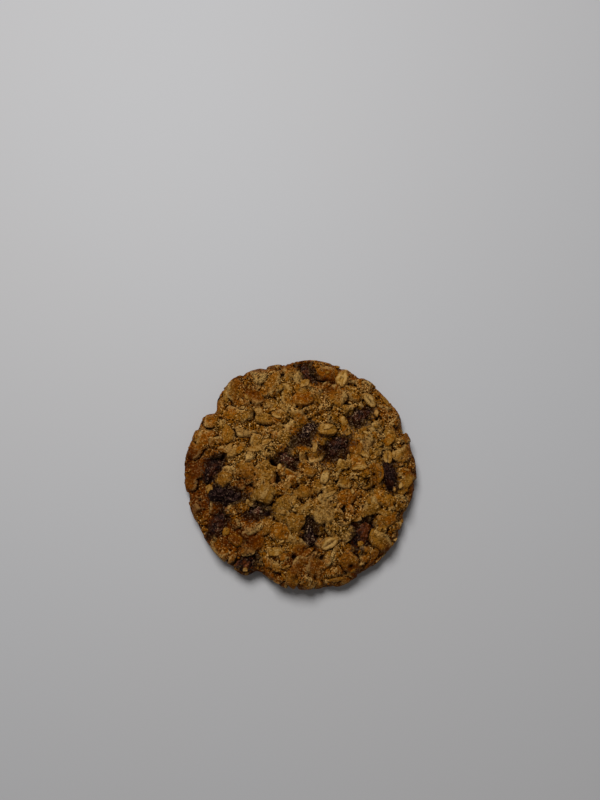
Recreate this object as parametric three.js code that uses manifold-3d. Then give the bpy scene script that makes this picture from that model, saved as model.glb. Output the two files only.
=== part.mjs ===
// An oatmeal raisin cookie, baked as one round drop of dough and lying on its flat base.
// The dough is one solid with its oat flakes fused in; each raisin is a separate solid in its own pocket.
// Millimetres and degrees, +Z up. The origin is on the base plane, in the middle of the cookie's outline.
import * as THREE from "three";
import { mergeVertices } from "three/addons/utils/BufferGeometryUtils.js";
import Module from "manifold-3d";

// The round blank that the dough is shaped from
const cookieRadius = 39.8;
const crownHeight = 12.2; // top of the middle
const shoulderHeight = 9.2; // top surface where it starts to roll over to the rim
const shoulderWidth = 7.5; // how far in from the edge that is
const waistHeight = 3.4; // height of the widest line
const footWidth = 2.8; // how far the base stands in from the widest line
const segmentsAround = 66;
const segmentsAlong = 25;

// Where the edge comes in (depth over 0) or bulges out, and how far that spreads on each side
const edgeDents = [
  { at: 12, depth: 1.0, before: 3, after: 3 },
  { at: 24, depth: 1.3, before: 3, after: 3 },
  { at: 98, depth: 1.2, before: 9, after: 9 },
  { at: 123, depth: -1.0, before: 8, after: 8 },
  { at: 144, depth: 3.4, before: 4, after: 4 },
  { at: 178, depth: -0.8, before: 18, after: 18 },
  { at: 246, depth: 3.6, before: 3, after: 12 },
  { at: 291, depth: -0.8, before: 8, after: 8 },
  { at: 340, depth: 1.8, before: 9, after: 9 },
];

// A thin, smooth skirt where the dough ran out on one side
const skirt = { at: 180, spread: 36, starts: 0.7, ends: 0.88, drop: 2.6 };

// Lumps of the crumb: wavelength and height
const lumps = [
  { wavelength: 13, height: 1.1, seed: 3 },
  { wavelength: 6, height: 1.4, seed: 11 },
];
const rimLumps = { wavelength: 6.5, height: 1.5, seed: 29 };

// Raisins: middle, length, width and direction, and how far the top stands over the dough round it
const raisinFlatness = 0.78; // thickness over width
const raisinDetail = 2;
const pocketDetail = 1;
const pocketGap = 0.6; // the pocket is plainer than its raisin, so its flat faces come closer than this
const wellDepth = 1.3; // how far the dough dips round a raisin
const wellReach = 1.35; // how far out that goes, in the raisin's own plan size
const wrinkle = { folds: 4, depth: 0.2, wander: 1.8, winding: 0.6, atEnds: 0.25 };
const raisinTaper = 0.16; // how much thinner one end is than the other
const basePress = 0.85; // what a raisin keeps of its half thickness where it is pressed to the base
const raisins = [
  { x: -25.5, y: -7.9, length: 12.6, width: 7.6, turn: -5, proud: 2.2 },
  { x: -30.3, y: 1.2, length: 11.0, width: 6.2, turn: 62, proud: 1.0 },
  { x: -28.2, y: -17.2, length: 9.6, width: 6.2, turn: 60, proud: 1.1 },
  { x: -18.2, y: -30.2, length: 8.6, width: 6.0, turn: 20, proud: 1.0 },
  { x: 1.9, y: 13.0, length: 9.6, width: 6.8, turn: 55, proud: 1.3 },
  { x: 11.4, y: 8.0, length: 11.6, width: 6.8, turn: 40, proud: 1.4 },
  { x: -4.6, y: 4.2, length: 8.6, width: 5.6, turn: -20, proud: 1.0 },
  { x: 29.9, y: -1.2, length: 10.4, width: 5.6, turn: 100, proud: 1.3 },
  { x: 20.4, y: 18.8, length: 9.6, width: 6.0, turn: 35, proud: 1.0 },
  { x: 3.1, y: -19.6, length: 10.8, width: 5.6, turn: 85, proud: 1.1 },
  { x: 20.2, y: -21.2, length: 10.2, width: 6.6, turn: 60, proud: 1.6 },
  { x: -13.8, y: -13.4, length: 9.6, width: 5.2, turn: 5, proud: 0.9 },
  { x: 2.6, y: 34.6, length: 8.0, width: 5.4, turn: -50, proud: 1.3 },
];

// Raisins that lie against the base and are pressed flat with it
const baseRaisins = [
  { x: 15.0, y: 19.0, length: 10.4, width: 6.6, turn: 25 },
  { x: -15.5, y: 12.5, length: 11.0, width: 6.0, turn: -40 },
  { x: 9.0, y: -24.0, length: 9.6, width: 6.4, turn: 70 },
];
const baseClearance = 0.1; // how far they stay off the base plane

// Oat flakes that lie clean on top: middle, length, width and direction
const cleanFlakes = [
  { x: 14.2, y: 32.5, length: 6.2, width: 4.6, turn: 75 },
  { x: 23.7, y: 25.0, length: 6.2, width: 3.4, turn: -52 },
  { x: 29.6, y: 5.2, length: 5.6, width: 3.3, turn: 88 },
  { x: 9.2, y: 14.6, length: 7.0, width: 4.2, turn: 5 },
  { x: 7.9, y: -1.8, length: 5.2, width: 3.1, turn: 65 },
  { x: -12.2, y: -0.2, length: 8.4, width: 6.6, turn: 50 },
  { x: -8.9, y: -26.7, length: 5.4, width: 3.3, turn: 0 },
  { x: 9.6, y: -23.8, length: 6.8, width: 3.8, turn: 35 },
  { x: 0.8, y: 25.8, length: 7.4, width: 5.2, turn: 10 },
  { x: 18.1, y: 8.5, length: 7.4, width: 5.6, turn: 80 },
  { x: 25.2, y: -1.5, length: 6.6, width: 3.4, turn: 80 },
  { x: 15.6, y: -8.5, length: 6.6, width: 5.0, turn: 10 },
  { x: -23.7, y: 6.6, length: 4.8, width: 2.8, turn: 40 },
  { x: -12.7, y: 18.5, length: 7.4, width: 3.8, turn: -15 },
  { x: -5.6, y: 12.4, length: 5.8, width: 4.8, turn: 70 },
  { x: -13.0, y: -18.2, length: 6.8, width: 6.0, turn: 30 },
  { x: 8.5, y: -14.0, length: 7.4, width: 6.6, turn: 20 },
  { x: 34.0, y: -5.4, length: 6.8, width: 4.2, turn: 60 },
];
const cleanFlakeRise = 0.45; // how high the middle of a clean flake lies over the dough
const cleanFlakeTilt = 8;

// Flakes bedded in the top, and flakes that show at the edge
const bedFlakes = {
  count: 78, shortest: 5.2, longest: 8.6, slimmest: 0.61, broadest: 0.83,
  tilt: 17, rise: 0.5, reach: 0.95, spacing: 0.35,
};
const rimFlakes = {
  count: 26, shortest: 5.0, longest: 7.4, slimness: 0.56, lowest: 2.6, highest: 6.4,
  stagger: 0.6, sunk: 0.35, rollIn: 0.35, faceUp: 1.4, swing: 40,
};
const flakeThickness = 1.5;
const flakeSides = 8;
const flakeCurl = 0.03;
const flakeClearance = 0.625; // room between a flake and a raisin, as a share of the flake's length
const goldenAngle = 137.50776;

const radians = THREE.MathUtils.degToRad;
const smooth = THREE.MathUtils.smoothstep;
const up = new THREE.Vector3(0, 0, 1);

// A repeatable draw from 0 to 1 for whole numbers i, j, k
function draw(i, j = 0, k = 0) {
  const value = Math.sin(i * 12.9898 + j * 78.233 + k * 37.719) * 43758.5453;
  return value - Math.floor(value);
}

// Smooth value noise from -1 to 1
function noise(x, y, z, wavelength, seed) {
  const cell = [x, y, z].map((v) => Math.floor(v / wavelength));
  const part = [x, y, z].map((v, n) => v / wavelength - cell[n]);
  const ease = part.map((t) => t * t * (3 - 2 * t));
  let sum = 0;
  for (let corner = 0; corner < 8; corner++) {
    const step = [corner & 1, (corner >> 1) & 1, corner >> 2];
    const weight = step.reduce((w, s, n) => w * (s ? ease[n] : 1 - ease[n]), 1);
    sum += weight * draw(cell[0] + step[0], cell[1] + step[1], cell[2] + step[2] + seed);
  }
  return 2 * sum - 1;
}

// Signed turn from one direction to another, -180 to 180
function turnBetween(from, to) {
  return THREE.MathUtils.euclideanModulo(to - from + 180, 360) - 180;
}

// The edge's distance from the middle in a direction
function edgeRadius(direction) {
  return edgeDents.reduce((radius, dent) => {
    const turn = turnBetween(dent.at, direction);
    const spread = turn < 0 ? dent.before : dent.after;
    return radius - dent.depth * Math.exp(-((turn / spread) ** 2));
  }, cookieRadius);
}

const directionOf = (x, y) => THREE.MathUtils.radToDeg(Math.atan2(y, x));

// The share of the way out to the edge, 0 in the middle and 1 at the edge
const shareOut = (x, y) => Math.hypot(x, y) / edgeRadius(directionOf(x, y));

// How far a point is from a raisin's middle, in its own plan size: 1 is on its outline
function raisinDistance(raisin, x, y) {
  const turn = radians(raisin.turn);
  const along = (x - raisin.x) * Math.cos(turn) + (y - raisin.y) * Math.sin(turn);
  const across = (y - raisin.y) * Math.cos(turn) - (x - raisin.x) * Math.sin(turn);
  return Math.hypot((2 * along) / raisin.length, (2 * across) / raisin.width);
}

function skirtDrop(x, y) {
  const turn = turnBetween(skirt.at, directionOf(x, y));
  const round = Math.exp(-((turn / skirt.spread) ** 4));
  return skirt.drop * round * smooth(shareOut(x, y), skirt.starts, skirt.ends);
}

// What the crumb adds to the blank's top at a point
function topRelief(x, y) {
  const lumpy = lumps.reduce((sum, l) => sum + l.height * noise(x, y, 0, l.wavelength, l.seed), 0);
  const wells = raisins.reduce((deepest, raisin) => {
    const distance = raisinDistance(raisin, x, y);
    return Math.max(deepest, wellDepth * Math.exp(-((distance / wellReach) ** 4)));
  }, 0);
  return lumpy - wells - skirtDrop(x, y);
}

// The blank's top above a point of its radius
function blankTop(radius) {
  const flat = cookieRadius - shoulderWidth;
  if (radius < flat) {
    return crownHeight - (crownHeight - shoulderHeight) * smooth(radius, 0, flat);
  }
  const out = Math.min(1, (radius - flat) / shoulderWidth);
  return waistHeight + (shoulderHeight - waistHeight) * Math.sqrt(1 - out * out);
}

// Top of the dough, without flakes, above a point
function doughTop(x, y) {
  const height = blankTop(shareOut(x, y) * cookieRadius);
  return height + topRelief(x, y) * smooth(height, waistHeight, shoulderHeight);
}

// Moves one point of the round blank to the dough's surface
function shapeDough(point) {
  const direction = directionOf(point.x, point.y);
  const onTop = smooth(point.z, waistHeight, shoulderHeight);
  const offBase = smooth(point.z, 0, waistHeight);
  const ragged = rimLumps.height * noise(point.x, point.y, point.z, rimLumps.wavelength, rimLumps.seed);
  const radius = Math.hypot(point.x, point.y);
  const side = radius > 1 ? (offBase * (1 - onTop) * ragged) / radius : 0;
  const reach = edgeRadius(direction) / cookieRadius + side;
  const x = point.x * reach;
  const y = point.y * reach;
  point.set(x, y, point.z + onTop * topRelief(x, y));
}

const wasm = await Module();
wasm.setup();

// A geometry with shared corners only, and no collapsed faces
function welded(geometry) {
  geometry.deleteAttribute("normal");
  geometry.deleteAttribute("uv");
  const merged = mergeVertices(geometry, 1e-4);
  const corners = Array.from(merged.index.array);
  const kept = [];
  for (let i = 0; i < corners.length; i += 3) {
    const [a, b, c] = corners.slice(i, i + 3);
    if (a !== b && b !== c && a !== c) kept.push(a, b, c);
  }
  return merged.setIndex(kept);
}

function solidOf(geometry) {
  const mesh = new wasm.Mesh({
    numProp: 3,
    vertProperties: geometry.getAttribute("position").array,
    triVerts: new Uint32Array(geometry.index.array),
  });
  return new wasm.Manifold(mesh);
}

// The solid's largest body as a geometry
function geometryOf(solid) {
  const bodies = solid.decompose().sort((a, b) => b.volume() - a.volume());
  const mesh = bodies[0].getMesh();
  return new THREE.BufferGeometry()
    .setAttribute("position", new THREE.BufferAttribute(mesh.vertProperties, 3))
    .setIndex(new THREE.BufferAttribute(mesh.triVerts, 1));
}

// Calls a function with each vertex, and keeps what it makes of it
function eachVertex(geometry, change) {
  const position = geometry.getAttribute("position");
  const point = new THREE.Vector3();
  for (let i = 0; i < position.count; i++) {
    change(point.fromBufferAttribute(position, i));
    position.setXYZ(i, point.x, point.y, point.z);
  }
  return geometry;
}

// The dough without flakes: a lathed blank, then shaped
function makeDough() {
  const flat = cookieRadius - shoulderWidth;
  const profile = new THREE.Path()
    .moveTo(0, 0)
    .lineTo(cookieRadius - footWidth, 0)
    .absellipse(cookieRadius - footWidth, waistHeight, footWidth, waistHeight, -Math.PI / 2, 0)
    .absellipse(flat, waistHeight, shoulderWidth, shoulderHeight - waistHeight, 0, Math.PI / 2)
    .bezierCurveTo((flat * 2) / 3, shoulderHeight, flat / 3, crownHeight, 0, crownHeight);
  const points = profile.getSpacedPoints(segmentsAlong);
  points.forEach((point) => {
    if (point.x < cookieRadius - footWidth && point.y < waistHeight / 2) point.y = 0;
  });
  const blank = new THREE.LatheGeometry(points, segmentsAround).rotateX(Math.PI / 2);
  return eachVertex(welded(blank), shapeDough);
}

// One flake: a flat round lens, curled along its length
function makeFlake(length, width) {
  const lens = new THREE.SphereGeometry(1, flakeSides, 3).rotateX(Math.PI / 2);
  return eachVertex(welded(lens), (point) => {
    point.multiply(new THREE.Vector3(length / 2, width / 2, flakeThickness / 2));
    point.z += flakeCurl * (point.y ** 2 - point.x ** 2 / 2);
  });
}

// Direction straight out of the dough's top at a point
function topNormal(x, y) {
  const step = 1.5;
  const slopeX = (doughTop(x + step, y) - doughTop(x - step, y)) / (2 * step);
  const slopeY = (doughTop(x, y + step) - doughTop(x, y - step)) / (2 * step);
  return new THREE.Vector3(-slopeX, -slopeY, 1).normalize();
}

// A flake in place: its face square to a direction, turned in that plane and tipped by a tilt
function placeFlake(length, width, at, normal, turn, tilt) {
  const lean = new THREE.Quaternion().setFromUnitVectors(up, normal);
  const spin = new THREE.Quaternion().setFromAxisAngle(up, radians(turn));
  const tip = new THREE.Quaternion().setFromAxisAngle(new THREE.Vector3(1, 0, 0), radians(tilt));
  const pose = lean.multiply(spin).multiply(tip);
  return makeFlake(length, width).applyQuaternion(pose).translate(at.x, at.y, at.z);
}

const clearOfRaisins = (x, y, length) =>
  raisins.every((raisin) => raisinDistance(raisin, x, y) > 1 + (flakeClearance * length) / raisin.length);

// The clean flakes, by the list
function layCleanFlakes() {
  return cleanFlakes.map((flake, i) => {
    const at = new THREE.Vector3(flake.x, flake.y, doughTop(flake.x, flake.y) + cleanFlakeRise);
    const tilt = cleanFlakeTilt * (2 * draw(i, 1) - 1);
    return placeFlake(flake.length, flake.width, at, topNormal(flake.x, flake.y), flake.turn, tilt);
  });
}

// Flakes bedded all over the top, spread by the golden angle
function layBedFlakes() {
  const laid = [];
  for (let i = 0; i < bedFlakes.count; i++) {
    const direction = i * goldenAngle;
    const share = bedFlakes.reach * Math.sqrt((i + 0.5) / bedFlakes.count);
    const radius = share * edgeRadius(direction);
    const x = radius * Math.cos(radians(direction));
    const y = radius * Math.sin(radians(direction));
    const length = THREE.MathUtils.lerp(bedFlakes.shortest, bedFlakes.longest, draw(i, 2));
    const onClean = cleanFlakes.some(
      (clean) => Math.hypot(clean.x - x, clean.y - y) < bedFlakes.spacing * (clean.length + length),
    );
    if (onClean || !clearOfRaisins(x, y, length)) continue;
    const at = new THREE.Vector3(x, y, doughTop(x, y) + bedFlakes.rise * draw(i, 3));
    const tilt = bedFlakes.tilt * (2 * draw(i, 4) - 1);
    const width = length * THREE.MathUtils.lerp(bedFlakes.slimmest, bedFlakes.broadest, draw(i, 5));
    laid.push(placeFlake(length, width, at, topNormal(x, y), 360 * draw(i, 6), tilt));
  }
  return laid;
}

// Flakes that show at the edge, all the way round
function layRimFlakes() {
  const laid = [];
  for (let i = 0; i < rimFlakes.count; i++) {
    const direction = ((i + rimFlakes.stagger * draw(i, 7)) * 360) / rimFlakes.count;
    const height = THREE.MathUtils.lerp(rimFlakes.lowest, rimFlakes.highest, draw(i, 8));
    const length = THREE.MathUtils.lerp(rimFlakes.shortest, rimFlakes.longest, draw(i, 9));
    const rolledIn = rimFlakes.rollIn * Math.max(0, height - waistHeight);
    const radius = edgeRadius(direction) - rimFlakes.sunk - rolledIn;
    const at = new THREE.Vector3(radius, 0, height).applyAxisAngle(up, radians(direction));
    if (!clearOfRaisins(at.x, at.y, length)) continue;
    const rise = rimFlakes.faceUp * smooth(height, waistHeight, shoulderHeight);
    const normal = new THREE.Vector3(at.x / radius, at.y / radius, rise).normalize();
    const turn = 90 + rimFlakes.swing * (2 * draw(i, 10) - 1);
    laid.push(placeFlake(length, length * rimFlakes.slimness, at, normal, turn, 0));
  }
  return laid;
}

// A raisin's outline as an ellipsoid, grown by a gap
function raisinBlank(raisin, grown, detail) {
  const half = new THREE.Vector3(raisin.length, raisin.width, raisin.width * raisinFlatness)
    .multiplyScalar(0.5)
    .addScalar(grown);
  return eachVertex(welded(new THREE.IcosahedronGeometry(1, detail)), (point) => point.multiply(half));
}

// Height of a raisin's middle: by its top where it lies on top, and by the base plane where it lies under
function raisinLevel(raisin) {
  const halfThick = (raisin.width * raisinFlatness) / 2;
  if (raisin.proud === undefined) return halfThick * basePress;
  return doughTop(raisin.x, raisin.y) + raisin.proud - halfThick;
}

function layRaisin(geometry, raisin) {
  return geometry.rotateZ(radians(raisin.turn)).translate(raisin.x, raisin.y, raisinLevel(raisin));
}

function makePocket(raisin) {
  return layRaisin(raisinBlank(raisin, pocketGap, pocketDetail), raisin);
}

// A raisin: its skin folds in along wandering lines from end to end, and one end is thinner
function makeRaisin(raisin, index) {
  const folded = eachVertex(raisinBlank(raisin, 0, raisinDetail), (point) => {
    const along = (2 * point.x) / raisin.length;
    const around = Math.atan2(point.z, point.y);
    const wander = wrinkle.wander * Math.sin(wrinkle.winding * point.x + index);
    const fold = 0.5 - 0.5 * Math.cos(wrinkle.folds * around + wander + index);
    const pinch = 1 - wrinkle.depth * fold * Math.max(wrinkle.atEnds, 1 - along ** 2);
    const thin = 1 - (raisinTaper * (1 - along)) / 2;
    point.y *= pinch * thin;
    point.z *= pinch * thin;
  });
  return eachVertex(layRaisin(folded, raisin), (point) => {
    point.z = Math.max(point.z, baseClearance);
  });
}

// The outline's middle, which goes to the origin
function outlineMiddle() {
  const box = new THREE.Box2();
  for (let direction = 0; direction < 360; direction++) {
    const reach = new THREE.Vector2(edgeRadius(direction), 0);
    box.expandByPoint(reach.rotateAround(new THREE.Vector2(), radians(direction)));
  }
  return box.getCenter(new THREE.Vector2());
}

function makeBakedDough() {
  const flakes = [...layCleanFlakes(), ...layBedFlakes(), ...layRimFlakes()].map(solidOf);
  const pockets = [...raisins, ...baseRaisins].map(makePocket).map(solidOf);
  const fused = wasm.Manifold.union([solidOf(makeDough()), ...flakes]);
  return geometryOf(fused.subtract(wasm.Manifold.union(pockets)));
}

const doughMaterial = new THREE.MeshStandardMaterial({ color: 0x96672f, roughness: 0.8, metalness: 0 });
const raisinMaterial = new THREE.MeshStandardMaterial({ color: 0x2a1512, roughness: 0.4, metalness: 0 });

const cookie = new THREE.Group();
const middle = outlineMiddle();
cookie.position.set(-middle.x, -middle.y, 0);

const dough = new THREE.Mesh(makeBakedDough(), doughMaterial);
dough.name = "dough";
cookie.add(dough);

[...raisins, ...baseRaisins].forEach((raisin, index) => {
  const mesh = new THREE.Mesh(makeRaisin(raisin, index), raisinMaterial);
  mesh.name = "raisin_" + String(index + 1).padStart(2, "0");
  cookie.add(mesh);
});

export default cookie;
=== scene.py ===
import bpy
import numpy as np
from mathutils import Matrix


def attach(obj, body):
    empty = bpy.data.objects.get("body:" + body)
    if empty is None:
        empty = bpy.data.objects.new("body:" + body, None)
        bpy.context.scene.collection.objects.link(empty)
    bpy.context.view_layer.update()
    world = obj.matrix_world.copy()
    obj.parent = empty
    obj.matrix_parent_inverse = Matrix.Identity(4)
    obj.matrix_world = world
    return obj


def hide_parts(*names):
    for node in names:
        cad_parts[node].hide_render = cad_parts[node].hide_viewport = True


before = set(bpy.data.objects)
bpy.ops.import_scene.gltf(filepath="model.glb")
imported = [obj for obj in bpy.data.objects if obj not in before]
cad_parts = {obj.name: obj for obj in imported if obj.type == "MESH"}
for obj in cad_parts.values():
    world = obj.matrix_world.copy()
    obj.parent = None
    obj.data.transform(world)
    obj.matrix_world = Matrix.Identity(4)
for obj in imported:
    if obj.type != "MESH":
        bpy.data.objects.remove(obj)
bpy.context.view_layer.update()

# Shapes are worked out in millimetres and degrees, and go into Blender in metres
mm = 0.001


# The fraction of a large sine: a repeatable draw from 0 to 1 for whole numbers
def draw(i, j=0, k=0):
    value = np.sin(i * 12.9898 + j * 78.233 + k * 37.719) * 43758.5453
    return value - np.floor(value)


# 0 up to low, 1 from high, and 3t^2 - 2t^3 between them
def smooth(value, low, high):
    t = np.clip((value - low) / (high - low), 0, 1)
    return t * t * (3 - 2 * t)


def mix(first, second, share):
    return first + (second - first) * share


# The larger of two heights, with the corner between them rounded over a width
def roundedMax(first, second, width):
    return (first + second + np.sqrt((first - second) ** 2 + width ** 2)) / 2


def unit(vectors):
    return vectors / np.maximum(np.linalg.norm(vectors, axis=-1, keepdims=True), 1e-12)


# Value noise from -1 to 1: draws at the corners of a cubic lattice, eased between them
def noise(x, y, z, wavelength, seed):
    place = [np.asarray(v, float) / wavelength for v in (x, y, z)]
    cell = [np.floor(v) for v in place]
    ease = [smooth(v - c, 0, 1) for v, c in zip(place, cell)]
    total = 0
    for corner in range(8):
        step = (corner & 1, (corner >> 1) & 1, corner >> 2)
        weight = 1
        for s, e in zip(step, ease):
            weight = weight * (e if s else 1 - e)
        total = total + weight * draw(cell[0] + step[0], cell[1] + step[1], cell[2] + step[2] + seed)
    return 2 * total - 1


# A turn that keeps each finer layer of noise off the lattice of the last
layerTurn = np.array([[0.36, 0.48, -0.8], [-0.8, 0.6, 0.0], [0.48, 0.64, 0.6]])


# Layers of noise, each half as long and half as high as the last
def crumble(points, wavelength, layers, seed):
    total, height = 0, 1.0
    for layer in range(layers):
        points = points @ layerTurn.T
        total = total + height * noise(*np.moveaxis(points, -1, 0), wavelength, seed + 5 * layer)
        wavelength, height = wavelength / 2, height / 2
    return total


# Round grains: 1 at the middle of each, falling with the distance to the nearest of the points
# that are drawn one to a cell of a cubic lattice
def grains(points, size, seed):
    place = points @ layerTurn.T / size
    cell = np.floor(place)
    nearest = np.full(points.shape[:-1], 9.0)
    for number in range(27):
        corner = cell + np.array([number % 3 - 1, number // 3 % 3 - 1, number // 9 - 1])
        key = corner @ np.array([1.0, 57.0, 113.0]) + seed
        spot = corner + np.stack([draw(key, 1), draw(key, 2), draw(key, 3)], -1)
        nearest = np.minimum(nearest, np.sum((place - spot) ** 2, -1))
    return 1 - np.sqrt(nearest)


# The dough's form, the same as the solid's
dough = {
    "radius": 39.8, "crown": 12.2, "shoulder": 9.2, "shoulderWidth": 7.5, "waist": 3.4, "footWidth": 2.8,
    # where the edge comes in: direction, depth, spread before and after
    "dents": [(12, 1.0, 3, 3), (24, 1.3, 3, 3), (98, 1.2, 9, 9), (123, -1.0, 8, 8), (144, 3.4, 4, 4),
              (178, -0.8, 18, 18), (246, 3.6, 3, 12), (291, -0.8, 8, 8), (340, 1.8, 9, 9)],
    "skirt": {"at": 180, "spread": 36, "starts": 0.7, "ends": 0.88, "drop": 2.6},
    "lumps": [(13, 1.1, 3), (6, 1.4, 11)],  # wavelength, height, seed
    "rimLumps": (6.5, 1.5, 29),
    "wellDepth": 1.3, "wellReach": 1.35,
}

raisins = {
    # middle, length, width, turn, how far it stands over the dough, how much dough clings to it
    "plan": [(-25.5, -7.9, 12.6, 7.6, -5, 2.2, 0.0), (-30.3, 1.2, 11.0, 6.2, 62, 1.0, 0.15),
             (-28.2, -17.2, 9.6, 6.2, 60, 1.1, 0.5), (-18.2, -30.2, 8.6, 6.0, 20, 1.0, 0.4),
             (1.9, 13.0, 9.6, 6.8, 55, 1.3, 0.65), (11.4, 8.0, 11.6, 6.8, 40, 1.4, 0.45),
             (-4.6, 4.2, 8.6, 5.6, -20, 1.0, 0.75), (29.9, -1.2, 10.4, 5.6, 100, 1.3, 0.4),
             (20.4, 18.8, 9.6, 6.0, 35, 1.0, 0.6), (3.1, -19.6, 10.8, 5.6, 85, 1.1, 0.75),
             (20.2, -21.2, 10.2, 6.6, 60, 1.6, 0.35), (-13.8, -13.4, 9.6, 5.2, 5, 0.9, 0.75),
             (2.6, 34.6, 8.0, 5.4, -50, 1.3, 0.6)],
    # how red each of the same is, in order
    "redness": [0, 0.25, 0.35, 0.95, 0.05, 0.25, 0.35, 0.2, 0.3, 0.1, 0.7, 0.4, 0.6],
    # middle, length, width and turn of those pressed flat against the base
    "basePlan": [(15.0, 19.0, 10.4, 6.6, 25), (-15.5, 12.5, 11.0, 6.0, -40), (9.0, -24.0, 9.6, 6.4, 70)],
    "baseDust": 0.3, "baseRedness": 0.4,
    "flatness": 0.78, "basePress": 0.85, "baseClearance": 0.1,
    "sunk": 0.05,  # how much lower the skin sits than the plain solid
    "sunkDusty": 0.85,  # and how much more where dough clings to all of it
    "rings": 92, "around": 76,
}


# The edge's distance from the middle: the radius less a bell curve for each dent
def edgeRadius(direction):
    radius = np.full(np.shape(direction), dough["radius"])
    for at, depth, before, after in dough["dents"]:
        turn = (direction - at + 180) % 360 - 180
        radius = radius - depth * np.exp(-(turn / np.where(turn < 0, before, after)) ** 2)
    return radius


def directionOf(x, y):
    return np.degrees(np.arctan2(y, x))


def shareOut(x, y):  # 0 in the middle, 1 at the edge
    return np.hypot(x, y) / edgeRadius(directionOf(x, y))


# Distance from an oval's middle in its own plan size, 1 on its outline
def ovalDistance(x, y, middleX, middleY, length, width, turn):
    c, s = np.cos(np.radians(turn)), np.sin(np.radians(turn))
    along = (x - middleX) * c + (y - middleY) * s
    across = (y - middleY) * c - (x - middleX) * s
    return np.hypot(2 * along / length, 2 * across / width)


def raisinDistances(x, y):
    return [ovalDistance(x, y, *raisin[:5]) for raisin in raisins["plan"]]


# How fully a place belongs to the thin skirt: a flat bell round its direction, eased in towards the edge
def skirtShare(x, y):
    skirt = dough["skirt"]
    turn = (directionOf(x, y) - skirt["at"] + 180) % 360 - 180
    return np.exp(-(turn / skirt["spread"]) ** 4) * smooth(shareOut(x, y), skirt["starts"], skirt["ends"])


# Lumps of noise, less the deepest well round a raisin, less the drop of the skirt
def topRelief(x, y):
    lumpy = sum(height * noise(x, y, 0 * x, wavelength, seed)
                for wavelength, height, seed in dough["lumps"])
    nearest = np.min(raisinDistances(x, y), axis=0)
    well = dough["wellDepth"] * np.exp(-(nearest / dough["wellReach"]) ** 4)
    return lumpy - well - dough["skirt"]["drop"] * skirtShare(x, y)


# The blank's top: an eased dome to the shoulder, then a quarter ellipse down to the waist
def blankTop(radius):
    flat = dough["radius"] - dough["shoulderWidth"]
    dome = dough["crown"] - (dough["crown"] - dough["shoulder"]) * smooth(radius, 0, flat)
    out = np.clip((radius - flat) / dough["shoulderWidth"], 0, 1)
    roll = dough["waist"] + (dough["shoulder"] - dough["waist"]) * np.sqrt(1 - out ** 2)
    return np.where(radius < flat, dome, roll)


# The height of the plain dough at a place: the blank's top, and relief that fades in over the shoulder
def doughTop(x, y):
    height = blankTop(shareOut(x, y) * dough["radius"])
    return height + topRelief(x, y) * smooth(height, dough["waist"], dough["shoulder"])


# The height of a top raisin's middle, lower where more dough clings to it
def raisinLevel(raisin):
    x, y, _, width, _, proud, dust = raisin
    top = float(doughTop(np.array(x), np.array(y)))
    return top + proud - width * raisins["flatness"] / 2 - raisins["sunk"] - raisins["sunkDusty"] * dust


# A point of the round blank on the dough: reach scaled to the edge, ragged sides, relief on top
def shapeDough(reach, direction, height):
    x, y = reach * np.cos(np.radians(direction)), reach * np.sin(np.radians(direction))
    onTop = smooth(height, dough["waist"], dough["shoulder"])
    offBase = smooth(height, 0, dough["waist"])
    wavelength, rimHeight, seed = dough["rimLumps"]
    ragged = rimHeight * noise(x, y, height, wavelength, seed)
    side = np.where(reach > 1, offBase * (1 - onTop) * ragged / np.maximum(reach, 1), 0)
    scale = edgeRadius(direction) / dough["radius"] + side
    x, y = x * scale, y * scale
    return np.stack([x, y, height + onTop * topRelief(x, y)], axis=-1)


# The middle of the outline's box, which lies at the origin
def outlineMiddle():
    direction = np.arange(360.0)
    edge = edgeRadius(direction)
    x, y = edge * np.cos(np.radians(direction)), edge * np.sin(np.radians(direction))
    return np.array([(x.min() + x.max()) / 2, (y.min() + y.max()) / 2, 0])


middle = outlineMiddle()
within = {"overEdge": 0.35, "soft": 1.0, "top": 13.9, "floor": 0.03}


# Holds points inside the outline and under the top: what goes past is pressed back towards the limit
def holdIn(points):
    x, y, z = np.moveaxis(points, -1, 0)
    reach = np.maximum(np.hypot(x, y), 1e-6)
    free = edgeRadius(directionOf(x, y)) + within["overEdge"] - within["soft"]
    past = np.maximum(reach - free, 0) / within["soft"]
    held = np.where(past > 0, free + within["soft"] * (1 - np.exp(-past)), reach) / reach
    over = np.maximum(z - (within["top"] - within["soft"]), 0) / within["soft"]
    top = np.where(over > 0, within["top"] - within["soft"] * np.exp(-over), z)
    return np.stack([x * held, y * held, np.maximum(top, within["floor"] * (z < within["floor"]))], -1)


# A mesh piece from arrays of points, quads, triangles and one number a point for each attribute
def makePiece(name, points, quads, triangles, values):
    mesh = bpy.data.meshes.new(name)
    mesh.vertices.add(len(points))
    mesh.vertices.foreach_set("co", ((holdIn(points) - middle) * mm).ravel())
    corners = np.concatenate([quads.ravel(), triangles.ravel()])
    starts = np.concatenate([np.arange(len(quads)) * 4, len(quads) * 4 + np.arange(len(triangles)) * 3])
    mesh.loops.add(len(corners))
    mesh.loops.foreach_set("vertex_index", corners.astype(np.int32))
    mesh.polygons.add(len(starts))
    mesh.polygons.foreach_set("loop_start", starts.astype(np.int32))
    mesh.polygons.foreach_set("use_smooth", np.ones(len(starts), bool))
    mesh.update(calc_edges=True)
    mesh.validate()
    for key, value in values.items():
        mesh.attributes.new(key, "FLOAT", "POINT").data.foreach_set("value", value.astype(np.float32))
    piece = bpy.data.objects.new(name, mesh)
    bpy.context.scene.collection.objects.link(piece)
    print(name, len(quads) * 2 + len(triangles), "triangles")
    return piece


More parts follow.
